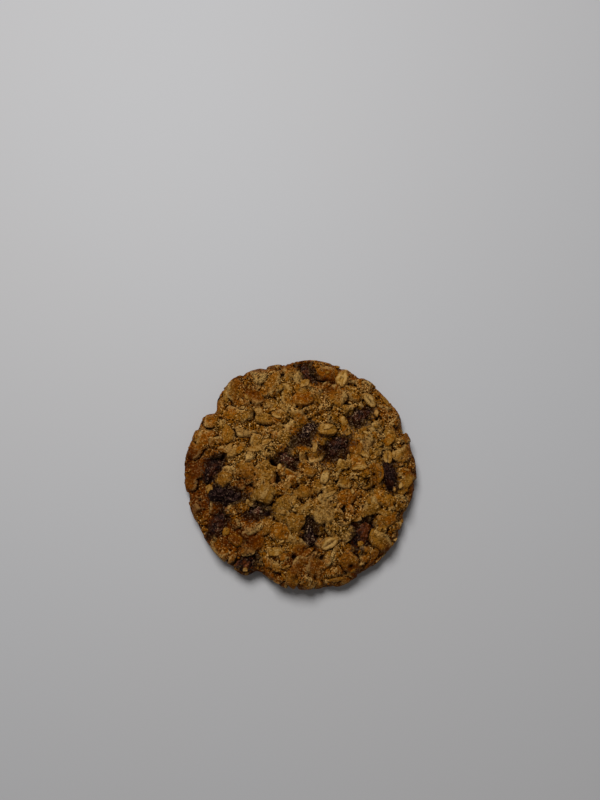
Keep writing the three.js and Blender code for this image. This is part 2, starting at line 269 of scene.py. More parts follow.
# Joined closed shapes from points[shape, ring, around]: the first and last rings close to poles
def makeShapes(name, points, values):
    count, rings, around = points.shape[:3]
    inner = rings - 2
    each = inner * around + 2

    def flat(grid):  # the inner rings, then the two poles
        body = grid[:, 1:-1].reshape(count, inner * around, -1)
        poles = [grid[:, :1].mean(2), grid[:, -1:].mean(2)]
        return np.concatenate([body, *poles], 1).reshape(count * each, -1)

    ring, step = np.meshgrid(np.arange(inner - 1), np.arange(around), indexing="ij")
    following = (step + 1) % around
    quads = np.stack([ring * around + step, (ring + 1) * around + step,
                      (ring + 1) * around + following, ring * around + following], -1).reshape(-1, 4)
    column = np.arange(around)
    nextColumn = (column + 1) % around
    last = (inner - 1) * around
    firstFan = np.stack([column * 0 + inner * around, column, nextColumn], -1)
    lastFan = np.stack([column * 0 + inner * around + 1, last + nextColumn, last + column], -1)
    fans = np.concatenate([firstFan, lastFan])
    shift = (np.arange(count) * each)[:, None, None]
    quads, fans = (quads + shift).reshape(-1, 4), (fans + shift).reshape(-1, 3)
    flatValues = {key: flat(value[..., None])[:, 0] for key, value in values.items()}
    return makePiece(name, flat(points), quads, fans, flatValues)


# Each point's direction out: the sum of its faces' directions, weighted by their areas
def outwards(points, quads, triangles):
    total = np.zeros_like(points)
    across = np.cross(points[quads[:, 2]] - points[quads[:, 0]], points[quads[:, 3]] - points[quads[:, 1]])
    three = np.cross(points[triangles[:, 1]] - points[triangles[:, 0]],
                     points[triangles[:, 2]] - points[triangles[:, 0]])
    for faces, direction in ((quads, across), (triangles, three)):
        for corner in range(faces.shape[1]):
            for axis in range(3):
                total[:, axis] += np.bincount(faces[:, corner], direction[:, axis], len(points))
    return unit(total)


# Each point's value moved to the mean of its neighbours', a number of times
def spreadOut(values, quads, rounds):
    starts = np.concatenate([quads[:, c] for c in range(4)])
    ends = np.concatenate([quads[:, (c + 1) % 4] for c in range(4)])
    count = len(values)
    links = np.maximum(np.bincount(starts, None, count) + np.bincount(ends, None, count), 1)
    for _ in range(rounds):
        around = np.bincount(starts, values[ends], count) + np.bincount(ends, values[starts], count)
        values = (values + around / links) / 2
    return values


# Where the oat flakes lie, and their shape
flakes = {
    # middle, length, width, turn, tone (0 is pale straw, 1 is toasted), and how deep its crease is
    "clean": [(14.2, 32.5, 6.2, 4.6, 75, 0.12, 0.0), (23.7, 25.0, 6.2, 3.4, -52, 0.15, 1.0),
              (29.6, 5.2, 5.6, 3.3, 88, 0.2, 1.2), (9.2, 14.6, 7.0, 4.2, 5, 0.4, 0.2),
              (7.9, -1.8, 5.2, 3.1, 65, 0.08, 0.3), (-12.2, -0.2, 8.4, 6.6, 50, 0.4, 1.0),
              (-8.9, -26.7, 5.4, 3.3, 0, 0.25, 0.4), (9.6, -23.8, 6.8, 3.8, 35, 0.12, 1.2),
              (0.8, 25.8, 7.4, 5.2, 10, 1.0, 0.0), (18.1, 8.5, 7.4, 5.6, 80, 0.85, 0.2),
              (25.2, -1.5, 6.6, 3.4, 80, 0.6, 0.3), (15.6, -8.5, 6.6, 5.0, 10, 0.7, 0.1),
              (-23.7, 6.6, 4.8, 2.8, 40, 0.2, 0.2), (-12.7, 18.5, 7.4, 3.8, -15, 0.3, 0.0),
              (-5.6, 12.4, 5.8, 4.8, 70, 0.45, 0.2), (-13.0, -18.2, 6.8, 6.0, 30, 0.45, 0.0),
              (8.5, -14.0, 7.4, 6.6, 20, 0.15, 0.2), (34.0, -5.4, 6.8, 4.2, 60, 0.35, 0.5)],
    "cleanRise": 0.45, "cleanTilt": 8, "cleanAngular": 0.4,
    # coated ones that the solid doesn't have: middle, length, width, turn, tone
    "further": [(-19.3, 20.0, 6.0, 3.6, 35, 0.3), (-19.9, 14.3, 6.5, 4.0, -20, 0.1),
                (-4.9, -4.2, 4.6, 2.8, 80, 0.2), (5.4, -4.7, 5.6, 4.2, 60, 0.35),
                (14.7, 2.3, 6.2, 3.8, 20, 0.25), (-2.6, -23.3, 5.4, 4.2, -30, 0.15),
                (0.3, 7.9, 5.6, 3.8, -20, 0.9), (24.0, -12.9, 7.0, 4.8, 20, 0.4),
                (-0.3, 33.3, 6.2, 4.4, 70, 0.1), (25.1, 20.0, 5.4, 2.8, 60, 0.85),
                (-14.6, -3.2, 5.4, 3.8, 70, 0.3)],
    "furtherRise": 0.4, "furtherTilt": 16,
    "bed": {"count": 78, "shortest": 5.2, "longest": 8.6, "slimmest": 0.61, "broadest": 0.83,
            "tilt": 17, "rise": 0.5, "reach": 0.95, "spacing": 0.35, "palest": 0.25, "toneRange": 0.55},
    "rim": {"count": 26, "shortest": 5.0, "longest": 7.4, "slimness": 0.56, "lowest": 2.6, "highest": 6.4,
            "stagger": 0.6, "sunk": 0.35, "rollIn": 0.35, "faceUp": 1.4, "swing": 40,
            "palest": 0.55, "toneRange": 0.4},
    "coated": {"tries": 4500, "shortest": 3.4, "longest": 8.6, "slimmest": 0.55, "broadest": 0.95,
               "tilt": 24, "spacing": 0.285, "lowest": 1.6, "leastUp": -0.2, "clearOfClean": 1.15,
               "clearOfDusty": 0.75, "faceUp": 0.9, "onSkirt": 0.5, "lowestRise": -0.2, "highestRise": 0.5,
               "fewestShown": 0.3, "towardsPale": 1.2},
    "cleanBare": (0, 1, 2, 3, 4, 6, 7),  # of the clean list, those that show bare: the rest are coated
    "bareShare": 0.033,  # of the bedded flakes, those that show bare
    "bareRoom": 1.4,  # how much wider than its own length a bare flake keeps others away
    "thickness": 1.5, "curl": 0.03, "clearance": 0.625, "goldenAngle": 137.50776,
    "fullTilt": 12,  # the tilt from which a flake's low side is wholly under the dough
    # a flake's outline: its sides, how far they turn, their distances out, and how square its corners are
    "sides": 6, "sideSwing": 34, "nearestSide": 0.76, "sideRange": 0.3, "cornerPower": 16,
}


# Axes of each flake: z leans to the normal by the shortest turn, after a turn about z and a tilt about x
def flakeAxes(normals, turns, tilts):
    turns, tilts = np.radians(turns), np.radians(tilts)
    c, s, ct, st = np.cos(turns), np.sin(turns), np.cos(tilts), np.sin(tilts)
    spun = np.stack([np.stack([c, s, 0 * c], -1), np.stack([-s * ct, c * ct, st], -1),
                     np.stack([s * st, -c * st, ct], -1)], 1)
    nx, ny, nz = normals.T
    share = 1 / (1 + nz)
    lean = np.stack([np.stack([1 - nx * nx * share, -nx * ny * share, nx], -1),
                     np.stack([-nx * ny * share, 1 - ny * ny * share, ny], -1),
                     np.stack([-nx, -ny, nz], -1)], 1)
    return np.einsum("kij,kaj->kai", lean, spun)


# The direction out of the plain dough's top, from its slope over a step each way
def topNormals(x, y, step=1.5):
    slopeX = (doughTop(x + step, y) - doughTop(x - step, y)) / (2 * step)
    slopeY = (doughTop(x, y + step) - doughTop(x, y - step)) / (2 * step)
    return unit(np.stack([-slopeX, -slopeY, 1 + 0 * x], -1))


# Whether flakes of a length keep off every raisin's oval
def clearOfRaisins(x, y, length):
    room = [distance > 1 + flakes["clearance"] * length / raisin[2]
            for distance, raisin in zip(raisinDistances(x, y), raisins["plan"])]
    return np.all(room, axis=0)


# Arrays with one value for each flake. Its shape is a draw that goes by its length
def flakeSet(middles, normals, turns, tilts, lengths, widths, tones, creases=0, angular=1, shown=1):
    return {"middle": middles, "axes": flakeAxes(normals, turns, tilts), "length": lengths, "width": widths,
            "tone": tones, "crease": creases + 0 * lengths, "angular": angular + 0 * lengths,
            "shown": shown + 0 * lengths, "shape": draw(np.floor(lengths * 1000), 3),
            "raised": np.clip(tilts / flakes["fullTilt"], -1, 1)}


# A flake's outline: the nearest of six sides at drawn directions and distances, its corners rounded by
# a power mean, and mixed with a plain oval where it is less angular
def flakeOutline(angle, shape, angular):
    total = 0
    for side in range(flakes["sides"]):
        facing = np.radians(360 / flakes["sides"] * side + flakes["sideSwing"] * draw(side, 97 * shape))
        distance = flakes["nearestSide"] + flakes["sideRange"] * draw(side, 53 * shape)
        total = total + (np.maximum(np.cos(angle - facing), 0) / distance) ** flakes["cornerPower"]
    return mix(1, total ** (-1 / flakes["cornerPower"]), angular)


def joinSets(*sets):
    return {key: np.concatenate([s[key] for s in sets]) for key in sets[0]}


def partOf(laid, which):  # the flakes of a set at an index, a slice or where a mask is true
    return {key: value[which] for key, value in laid.items()}


# Those of the solid that have a place of their own, along the dough with a little tilt
def layCleanFlakes():
    x, y, length, width, turn, tone, crease = np.array(flakes["clean"]).T
    tilt = flakes["cleanTilt"] * (2 * draw(np.arange(len(x)), 1) - 1)
    middles = np.stack([x, y, doughTop(x, y) + flakes["cleanRise"]], -1)
    return flakeSet(middles, topNormals(x, y), turn, tilt, length, width, tone, crease,
                    flakes["cleanAngular"])


# Coated ones that have a place of their own, tilted to one side or the other
def layFurtherFlakes():
    x, y, length, width, turn, tone = np.array(flakes["further"]).T
    side = np.where(draw(np.arange(len(x)), 2) < 0.5, -1, 1)
    middles = np.stack([x, y, doughTop(x, y) + flakes["furtherRise"]], -1)
    return flakeSet(middles, topNormals(x, y), turn, flakes["furtherTilt"] * side, length, width, tone)


# Spread over the top by the golden angle, at the square root of the share of the count
def layBedFlakes():
    bed = flakes["bed"]
    i = np.arange(bed["count"])
    direction = i * flakes["goldenAngle"]
    radius = bed["reach"] * np.sqrt((i + 0.5) / bed["count"]) * edgeRadius(direction)
    x, y = radius * np.cos(np.radians(direction)), radius * np.sin(np.radians(direction))
    length = mix(bed["shortest"], bed["longest"], draw(i, 2))
    width = length * mix(bed["slimmest"], bed["broadest"], draw(i, 5))
    kept = clearOfRaisins(x, y, length)
    for cleanX, cleanY, cleanLength in np.array(flakes["clean"])[:, :3]:
        kept &= np.hypot(cleanX - x, cleanY - y) >= bed["spacing"] * (cleanLength + length)
    middles = np.stack([x, y, doughTop(x, y) + bed["rise"] * draw(i, 3)], -1)
    tilt = bed["tilt"] * (2 * draw(i, 4) - 1)
    tone = bed["palest"] + bed["toneRange"] * draw(i, 12)
    laid = flakeSet(middles, topNormals(x, y), 360 * draw(i, 6), tilt, length, width, tone)
    return partOf(laid, kept)


# Spread evenly round the edge, facing out and a little up where they lie high
def layRimFlakes():
    rim = flakes["rim"]
    i = np.arange(rim["count"])
    direction = (i + rim["stagger"] * draw(i, 7)) * 360 / rim["count"]
    height = mix(rim["lowest"], rim["highest"], draw(i, 8))
    length = mix(rim["shortest"], rim["longest"], draw(i, 9))
    radius = edgeRadius(direction) - rim["sunk"] - rim["rollIn"] * np.maximum(0, height - dough["waist"])
    x, y = radius * np.cos(np.radians(direction)), radius * np.sin(np.radians(direction))
    rise = rim["faceUp"] * smooth(height, dough["waist"], dough["shoulder"])
    normals = unit(np.stack([x / radius, y / radius, rise], -1))
    turn = 90 + rim["swing"] * (2 * draw(i, 10) - 1)
    tone = rim["palest"] + rim["toneRange"] * draw(i, 13)
    laid = flakeSet(np.stack([x, y, height], -1), normals, turn, 0 * turn, length,
                    length * rim["slimness"], tone)
    return partOf(laid, clearOfRaisins(x, y, length))


# Smaller flakes wholly coated with dough, at drawn points of the surface that are clear of the others,
# each of which takes up some room
def layCoatedFlakes(points, normals, others, room):
    coated = flakes["coated"]
    i = np.arange(coated["tries"])
    at = np.floor(draw(i, 21) * len(points)).astype(int)
    length = mix(coated["shortest"], coated["longest"], draw(i, 22))
    width = length * mix(coated["slimmest"], coated["broadest"], draw(i, 23))
    fits = (points[at, 2] > coated["lowest"]) & (normals[at, 2] > coated["leastUp"])
    for distance, (*_, dust) in zip(raisinDistances(points[at, 0], points[at, 1]), raisins["plan"]):
        fits &= distance > mix(coated["clearOfClean"], coated["clearOfDusty"], dust)
    fits &= skirtShare(points[at, 0], points[at, 1]) < coated["onSkirt"]
    upright = smooth(points[:, 2], dough["waist"], dough["shoulder"]) * coated["faceUp"]
    normals = unit(normals + upright[:, None] * np.array([0, 0, 1.0]))
    placed, sizes = list(others), list(room)
    kept = []
    for n in np.flatnonzero(fits):
        gap = np.linalg.norm(np.array(placed) - points[at[n]], axis=1)
        if np.all(gap > coated["spacing"] * (np.array(sizes) + length[n])):
            kept.append(n)
            placed.append(points[at[n]])
            sizes.append(length[n])
    kept = np.array(kept)
    swing = 2 * draw(kept, 24) - 1
    tilt = coated["tilt"] * np.sign(swing) * np.sqrt(abs(swing))
    rise = mix(coated["lowestRise"], coated["highestRise"], draw(kept, 25))
    middles = points[at[kept]] + normals[at[kept]] * rise[:, None]
    tone = draw(kept, 27) ** coated["towardsPale"]
    shown = mix(coated["fewestShown"], 1, draw(kept, 30))
    return flakeSet(middles, normals[at[kept]], 360 * draw(kept, 26), tilt, length[kept], width[kept],
                    tone, shown=shown)


crust = {
    "topSteps": 278, "baseSteps": 139,
    "samples": {"dome": 200, "shoulder": 120, "foot": 60},  # along the profiles
    # dark hollows between the lumps: middle, length, width, turn, depth
    "hollows": [
        (-8.7, 3.4, 3.8, 2.2, 10, 2.8), (-8.0, -2.6, 4.8, 2.0, 92, 2.4), (-16.6, 19.7, 5.0, 1.6, 85, 1.4),
        (-2.3, -28.2, 2.2, 1.9, 20, 1.6), (6.8, -28.5, 2.0, 1.7, 0, 1.5), (16.7, -31.6, 2.0, 1.6, 40, 1.3),
        (4.9, -36.0, 3.8, 1.5, 95, 1.4), (22.8, -6.2, 2.6, 1.8, 20, 1.3), (-29.8, 13.3, 2.2, 1.7, -30, 1.2),
        (0.0, -9.9, 4.0, 1.8, -40, 1.3), (-5.6, -21.0, 3.2, 2.6, 70, 1.3), (3.0, 20.5, 6.0, 1.6, 25, 1.1),
        (-13.0, 9.5, 4.6, 1.4, 80, 1.0), (12.5, -3.5, 4.4, 1.4, 20, 1.0), (-22.0, -12.4, 5.0, 1.5, -60, 1.1),
        (24.5, 9.5, 4.0, 1.4, 60, 0.9), (14.5, -15.5, 4.0, 1.3, -50, 0.9), (-1.5, -35.2, 3.6, 1.4, 60, 1.0),
        (3.4, 4.6, 10.0, 2.4, 5, 1.3), (8.6, 21.4, 9.0, 1.7, 24, 1.1), (15.6, 8.5, 9.0, 1.6, 88, 1.3),
        (-2.6, 9.0, 6.0, 2.0, 60, 1.2), (3.0, -26.0, 3.4, 2.4, 10, 1.5), (-14.0, -10.6, 9.0, 1.8, -8, 1.3),
        (24.6, -1.6, 9.0, 1.6, 95, 1.2), (17.6, 20.4, 9.0, 2.2, 25, 1.2), (-33.0, -2.4, 5.0, 2.2, 70, 1.5),
        (-27.6, 4.6, 5.0, 1.8, 40, 1.3), (34.4, 13.6, 4.0, 1.6, 110, 1.0), (18.0, -17.0, 6.0, 1.7, 50, 1.1),
        (7.6, -19.4, 8.0, 1.5, 85, 1.1), (-31.0, -20.6, 5.0, 1.8, -50, 1.2)],
    "hollowPower": 2.4,  # more makes their sides steeper
    "pits": {"count": 240, "narrowest": 0.4, "widest": 0.9, "depth": 0.7, "searched": 2.5},
    "basePits": {"noise": (3.2, 4, 53), "least": 0.05, "depth": 0.5},  # noise: wavelength, layers, seed
    # browner places: middle, reach, strength
    "browned": [(0.5, 25.2, 6, 0.6), (17.0, -9.3, 7, 0.6), (-19.3, -3.7, 6, 0.6), (-21.0, -21.5, 10, 0.9),
                (19.2, 8.0, 5, 0.6), (2.1, -30.5, 9, 0.95), (17.0, -33.2, 9, 0.8), (-8.9, 16.9, 5, 0.4),
                (-35.5, 4.0, 10, 1.0), (-21.0, 28.6, 10, 0.6), (9.3, 30.8, 8, 0.6), (28.5, 22.4, 7, 0.6),
                (25.8, -2.0, 5, 0.5), (-34.0, -10.0, 9, 1.0), (-30.0, -16.0, 8, 0.8), (-1.0, 1.0, 8, 0.6)],
    "rimBrown": 0.7, "rimBrownFrom": 0.8,  # how brown the edge is, and the share out at which it starts
    "brownUneven": 0.22, "brownNoise": (7.0, 3, 83),
    "relief": [(2.6, 3, 0.28, 41)],  # wavelength, layers, height, seed
    "grains": [(1.9, 0.1, 11), (0.9, 0.06, 23)],  # size, height, seed
    "grainMean": 0.45,  # taken off the grains, so that they lower the dough as much as they raise it
    "under": 0.6,  # how far the dough lies under the faces of its flakes
    "bareInset": 0.5, "inset": 0.3,  # how deep a flake's face is set, where it shows bare and where not
    "leastInset": 0.35, "insetRange": 0.45,  # the same for the smaller coated ones
    "searched": 0.66,  # how far from its middle a flake can lift the dough, in its own length
    "crisp": 0.1, "soft": 0.5,  # width of the bend into the dough at a flake's raised side and its low side
    "dome": 0.3,  # how much of a flake's drop is spread over its face: the rest is at its edge
    "tallest": 1.4,  # what a flake's lift comes towards
    "onFlakes": 0.3,  # how much of the relief shows on a coated flake
    # where a flake is low enough to be coated and how fully it then is, where its raised edge lies by the
    # distance out and towards that side, and the heights over the dough between which it starts to show
    "lowSide": (0.0, 0.9), "lowCoat": 0.8, "brinkOut": (0.5, 0.9), "brinkSide": (0.1, 0.7),
    "showing": (-0.05, 0.2),
    "skirtCalm": 0.75,  # how much flatter the relief is on the skirt
    "footFade": (2.0, 3.8),  # heights between which the flakes fade in above the foot
    "baseEnds": 0.2,  # the height from which the underside gives way to the crust
    "recess": 1.6, "recessReach": 1.05,  # depth and size of the open pockets of the raisins in the base
    "cavityRounds": 26,  # how widely a place is set against its neighbours to tell gaps from high places
    "darkRoundReach": 1.2, "darkRoundRagged": 0.4,  # how far the dark round a raisin reaches, in its own size
    "darkRoundNoise": (3.0, 2, 61), "darkRoundFade": (4, 6),  # and the heights between which it fades in
}


# A square grid pressed to a disc: each square ring becomes a round one. Gives share out and direction
def discGrid(steps):
    line = np.linspace(-1, 1, steps + 1)
    a, b = np.meshgrid(line, line)
    out = np.maximum(abs(a), abs(b))
    bySide = abs(a) >= abs(b)
    sideways = 45 * b / np.where(a == 0, 1, a) + np.where(a < 0, 180, 0)
    upright = 90 - 45 * a / np.where(b == 0, 1, b) + np.where(b < 0, 180, 0)
    return out.ravel(), np.where(bySide, sideways, upright).ravel()


def discQuads(steps):
    row, column = np.meshgrid(np.arange(steps), np.arange(steps), indexing="ij")
    first = row * (steps + 1) + column
    return np.stack([first, first + 1, first + steps + 2, first + steps + 1], -1).reshape(-1, 4)


def discEdge(steps):  # the outer points in order, anticlockwise
    side = np.arange(steps)
    wide = steps + 1
    return np.concatenate([side, side * wide + steps, steps * wide + steps - side, (steps - side) * wide])


# Radius and height at a share of the length along a profile
def alongProfile(share, radius, height):
    length = np.concatenate([[0], np.cumsum(np.hypot(np.diff(radius), np.diff(height)))])
    return np.interp(share * length[-1], length, radius), np.interp(share * length[-1], length, height)


# From the crown over the dome and round the shoulder to the waist
def topProfile(share):
    bend = np.linspace(0.01, 1, crust["samples"]["shoulder"]) * np.pi / 2
    dome = np.linspace(0, dough["radius"] - dough["shoulderWidth"], crust["samples"]["dome"])
    radius = np.concatenate([dome, dough["radius"] - dough["shoulderWidth"] * (1 - np.sin(bend))])
    return alongProfile(share, radius, blankTop(radius))


# From the middle of the base along the flat, then up a quarter ellipse to the waist
def baseProfile(share):
    bend = np.linspace(0, np.pi / 2, crust["samples"]["foot"])
    radius = np.concatenate([[0], dough["radius"] - dough["footWidth"] * (1 - np.sin(bend))])
    height = np.concatenate([[0], dough["waist"] * (1 - np.cos(bend))])
    return alongProfile(share, radius, height)


# The plain dough: a disc grid for the top and a coarser one for the underside, stitched below the waist
def plainDough():
    fine, coarse = crust["topSteps"], crust["baseSteps"]
    share, direction = discGrid(fine)
    reach, height = topProfile(share)
    top = shapeDough(reach, direction, height)
    share, direction = discGrid(coarse)
    reach, height = baseProfile(share * (1 - 1 / coarse))
    base = shapeDough(reach, direction, height)
    upper = discEdge(fine)
    lower = discEdge(coarse) + len(top)
    lowerNext = np.roll(lower, -1)
    upperFirst, upperSecond, upperThird = upper[0::2], upper[1::2], np.roll(upper, -2)[0::2]
    stitches = np.concatenate([np.stack([lower, upperSecond, upperFirst], -1),
                               np.stack([lower, lowerNext, upperSecond], -1),
                               np.stack([lowerNext, upperThird, upperSecond], -1)])
    quads = np.concatenate([discQuads(fine), discQuads(coarse)[:, ::-1] + len(top)])
    return np.concatenate([top, base]), quads, stitches


# Height to which one flake lifts the surface: its domed face over the flake's plane, falling off past its
# edge. Gives also the distance out, 1 at its edge, and the distance towards its raised side
def flakeLift(points, flake, inset):
    local = (points - flake["middle"]) @ flake["axes"].T
    along, across, over = local.T
    around = np.arctan2(2 * across / flake["width"], 2 * along / flake["length"])
    out = np.hypot(2 * along / flake["length"], 2 * across / flake["width"])
    out = out / flakeOutline(around, flake["shape"], flake["angular"])
    drop = mix(out ** 8, out ** 2, crust["dome"])
    face = flakes["thickness"] / 2 * (1 - drop) + flakes["curl"] * (across ** 2 - along ** 2 / 2)
    lift = face - inset - over
    lift = np.where(lift > 0, crust["tallest"] * np.tanh(lift / crust["tallest"]), lift)
    return lift, out, flake["raised"] * 2 * across / flake["width"]


# Raises the surface over every flake, and notes which tone shows, how fully, and how near the raised edge.
# The low side of a flake blends into the dough and is coated with it
def bedFlakes(points, heights, texture, laid, inset):
    tone, onFlake, edge = np.full(len(points), 0.5), np.zeros(len(points)), np.zeros(len(points))
    for n in range(len(laid["length"])):
        flake = partOf(laid, n)
        reach = crust["searched"] * flake["length"]
        near = np.flatnonzero(np.linalg.norm(points - flake["middle"], axis=1) < reach)
        lift, out, side = flakeLift(points[near], flake, inset[n])
        lift = lift + crust["onFlakes"] * texture[near]
        lowSide = smooth(-side, *crust["lowSide"])
        brink = smooth(out, *crust["brinkOut"]) * smooth(side, *crust["brinkSide"])
        share = smooth(lift - heights[near], *crust["showing"])
        tone[near] = mix(tone[near], flake["tone"], share)
        onFlake[near] = mix(onFlake[near], flake["shown"] * (1 - crust["lowCoat"] * lowSide), share)
        edge[near] = mix(edge[near], brink, share)
        heights[near] = roundedMax(heights[near], lift, mix(crust["crisp"], crust["soft"], lowSide))
    return tone, onFlake, edge


# How brown each point is baked: more from the rim in, bell curves at browned places, and noise
def browning(points):
    x, y = points.T[:2]
    brown = crust["rimBrown"] * smooth(shareOut(x, y), crust["rimBrownFrom"], 1.0)
    for middleX, middleY, reach, strength in crust["browned"]:
        away = (x - middleX) ** 2 + (y - middleY) ** 2
        brown = np.maximum(brown, strength * np.exp(-away / reach ** 2))
    return np.clip(brown + crust["brownUneven"] * crumble(points, *crust["brownNoise"]), 0, 1)


# Relief of the crumb: layers of noise, and round grains, both flatter on the skirt
def crumbTexture(points):
    texture = sum(height * crumble(points, wavelength, layers, seed)
                  for wavelength, layers, height, seed in crust["relief"])
    texture = texture + sum(height * (grains(points, size, seed) - crust["grainMean"])
                            for size, height, seed in crust["grains"])
    return texture * (1 - crust["skirtCalm"] * skirtShare(*points.T[:2]))


# All the flakes in the dough, how deep the face of each is set, and those that show bare
def layFlakes(points, normals):
    placed = joinSets(layCleanFlakes(), layBedFlakes(), layRimFlakes())
    bare = draw(np.arange(len(placed["length"])), 29) < flakes["bareShare"]
    bare[:len(flakes["clean"])] = np.isin(np.arange(len(flakes["clean"])), flakes["cleanBare"])
    further = layFurtherFlakes()
    room = np.concatenate([placed["length"] * np.where(bare, flakes["bareRoom"], 1), further["length"]])
    coated = layCoatedFlakes(points, normals, np.concatenate([placed["middle"], further["middle"]]), room)
    coatedCount, furtherCount = len(coated["length"]), len(further["length"])
    inset = np.concatenate([np.where(bare, crust["bareInset"], crust["inset"]),
                            crust["leastInset"] + crust["insetRange"] * draw(np.arange(coatedCount), 28),
                            np.full(furtherCount, crust["inset"])])
    print(len(bare), "flakes as in the solid,", int(bare.sum()), "of them bare, and",
          coatedCount + furtherCount, "more")
    return joinSets(placed, coated, further), inset, partOf(placed, bare)


# Lowers the dough by a steep bell curve in each hollow, and by a round one at each drawn pit
def hollowOut(points, heights):
    x, y, z = points.T
    for *oval, depth in crust["hollows"]:
        drop = depth * np.exp(-ovalDistance(x, y, *oval) ** crust["hollowPower"])
        heights = heights - np.where(z > dough["waist"], drop, 0)
    pits = crust["pits"]
    i = np.arange(pits["count"])
    pitAt = points[np.floor(draw(i, 31) * len(points)).astype(int)]
    pitRadius = mix(pits["narrowest"], pits["widest"], draw(i, 32) ** 2)
    for place, radius in zip(pitAt, pitRadius):
        near = np.flatnonzero(np.linalg.norm(points - place, axis=1) < pits["searched"] * radius)
        out = np.linalg.norm(points[near] - place, axis=1) / radius
        heights[near] -= pits["depth"] * np.exp(-out ** 2)
    return heights


# The underside: the higher places of noise are pits, and a flat bell curve opens a pocket round each raisin
def baseRelief(points):
    x, y = points.T[:2]
    pits = crust["basePits"]
    depth = np.maximum(0, crumble(points, *pits["noise"]) - pits["least"]) * pits["depth"]
    nearest = np.min([ovalDistance(x, y, *raisin) for raisin in raisins["basePlan"]], axis=0)
    return -(depth + crust["recess"] * np.exp(-(nearest / crust["recessReach"]) ** 10))


# The plain dough moved out along its own directions by the relief, the flakes and the hollows
def makeDough():
    points, quads, stitches = plainDough()
    normals = outwards(points, quads, stitches)
    x, y, z = points.T
    offBase, aboveFoot = smooth(z, crust["baseEnds"], dough["waist"]), smooth(z, *crust["footFade"])
    laid, inset, bare = layFlakes(points, normals)
    texture = crumbTexture(points)
    plain = texture - crust["under"]
    heights = plain.copy()
    tone, onFlake, edge = bedFlakes(points, heights, texture, laid, inset)
    heights = hollowOut(points, mix(plain, heights, aboveFoot))
    heights = mix(baseRelief(points), heights, offBase)
    cavity = spreadOut(heights, quads, crust["cavityRounds"]) - heights
    baked = points + normals * heights[:, None]
    baked[:, 2] = np.maximum(baked[:, 2], 0)
    # darker round each raisin, with a ragged edge, and only on the top
    uneven = 1 + crust["darkRoundRagged"] * crumble(points, *crust["darkRoundNoise"])
    ragged = np.min(raisinDistances(x, y), axis=0) * uneven
    darkRound = np.exp(-(ragged / crust["darkRoundReach"]) ** 6) * smooth(z, *crust["darkRoundFade"])
    values = {"tone": tone, "onFlake": onFlake * aboveFoot, "edge": edge * aboveFoot, "cavity": cavity,
              "browned": browning(points), "darkRound": darkRound, "underside": 1 - offBase}
    piece = makePiece("oat_dough", baked, quads, stitches, values)
    return piece, {"points": baked, "normals": outwards(baked, quads, stitches), "bare": bare}


doughPiece, surface = makeDough()


oats = {
    # dulled: how much of the crumb's colour they take
    "clean": {"rings": 22, "around": 56, "thickness": 1.25, "dulled": 0.25},
    "bedded": {"rings": 14, "around": 32, "thickness": 1.2, "dulled": 0.6},
    "leastDulled": 0.6, "dulledRange": 0.8,  # shares of it, from flake to flake
    "roundness": 0.62, "flatness": 0.7,  # powers of sine and cosine round the edge: less is squarer
    "crease": 0.25, "creaseWidth": 0.42, "raggedness": 0.2,
    # apart: the step in the noise from one flake to the next, so that no two are the same
    "broken": {"around": 9, "apart": 7.0, "wavelength": 2.2, "seed": 17, "from": -0.2},
    "rough": {"height": 0.2, "narrow": 1.7, "apart": 31.0, "wavelength": 1.5, "seed": 71},
    "streaks": {"stretch": 0.3, "apart": 17.0, "level": 5.0, "wavelength": 0.6, "seed": 83},
}


# Lens-shaped flakes: round the edge by powers of sine and cosine, a ragged oval outline, a crease along
# the middle, curled up across and down along
def flakePoints(laid, rings, around, thickness, dulled):
    each = {key: value[:, None, None] for key, value in laid.items()}
    broken, rough, streaks = oats["broken"], oats["rough"], oats["streaks"]
    share = np.linspace(0, 1, rings)[None, :, None]
    angle = (np.arange(around) * 2 * np.pi / around)[None, None, :]
    numbers = np.arange(len(laid["length"]))
    which = numbers[:, None, None]
    out = np.sin(np.pi * share) ** oats["roundness"]
    up = np.sign(0.5 - share) * abs(np.cos(np.pi * share)) ** oats["flatness"]
    wavy = flakeOutline(angle, each["shape"], each["angular"])
    bites = noise(broken["around"] * np.cos(angle), broken["around"] * np.sin(angle),
                  broken["apart"] * which, broken["wavelength"], broken["seed"])
    ragged = 1 - oats["raggedness"] * each["angular"] * smooth(bites, broken["from"], 1)
    along = out * np.cos(angle) * wavy * ragged * each["length"] / 2
    across = out * np.sin(angle) * wavy * ragged * each["width"] / 2
    onFace = np.clip(up, 0, 1)
    reachAlong = 2 * along / each["length"]
    crease = each["crease"] * np.exp(-(across / oats["creaseWidth"]) ** 2) * (1 - reachAlong ** 2)
    curled = flakes["curl"] * (across ** 2 - along ** 2 / 2)
    over = thickness / 2 * up + curled - onFace * oats["crease"] * crease
    bumpy = noise(along + rough["apart"] * which, rough["narrow"] * across, 0 * along,
                  rough["wavelength"], rough["seed"])
    over = over + onFace * rough["height"] * bumpy
    local = np.stack([along, across, over], -1)
    points = np.einsum("kria,kab->krib", local, laid["axes"]) + laid["middle"][:, None, None, :]
    full = np.ones_like(along)
    shade = dulled * (oats["leastDulled"] + oats["dulledRange"] * draw(numbers, 61))
    streak = noise(streaks["stretch"] * along + streaks["apart"] * which, across,
                   streaks["level"] + 0 * along, streaks["wavelength"], streaks["seed"])
    values = {"tone": full * each["tone"], "crease": crease * onFace, "rim": out * full,
              "shade": full * shade[:, None, None], "streak": streak,
              "browned": full * browning(laid["middle"])[:, None, None]}
    return points, values


def makeFlakes(name, laid, size):
    points, values = flakePoints(laid, size["rings"], size["around"], size["thickness"], size["dulled"])
    return makeShapes(name, points, values)


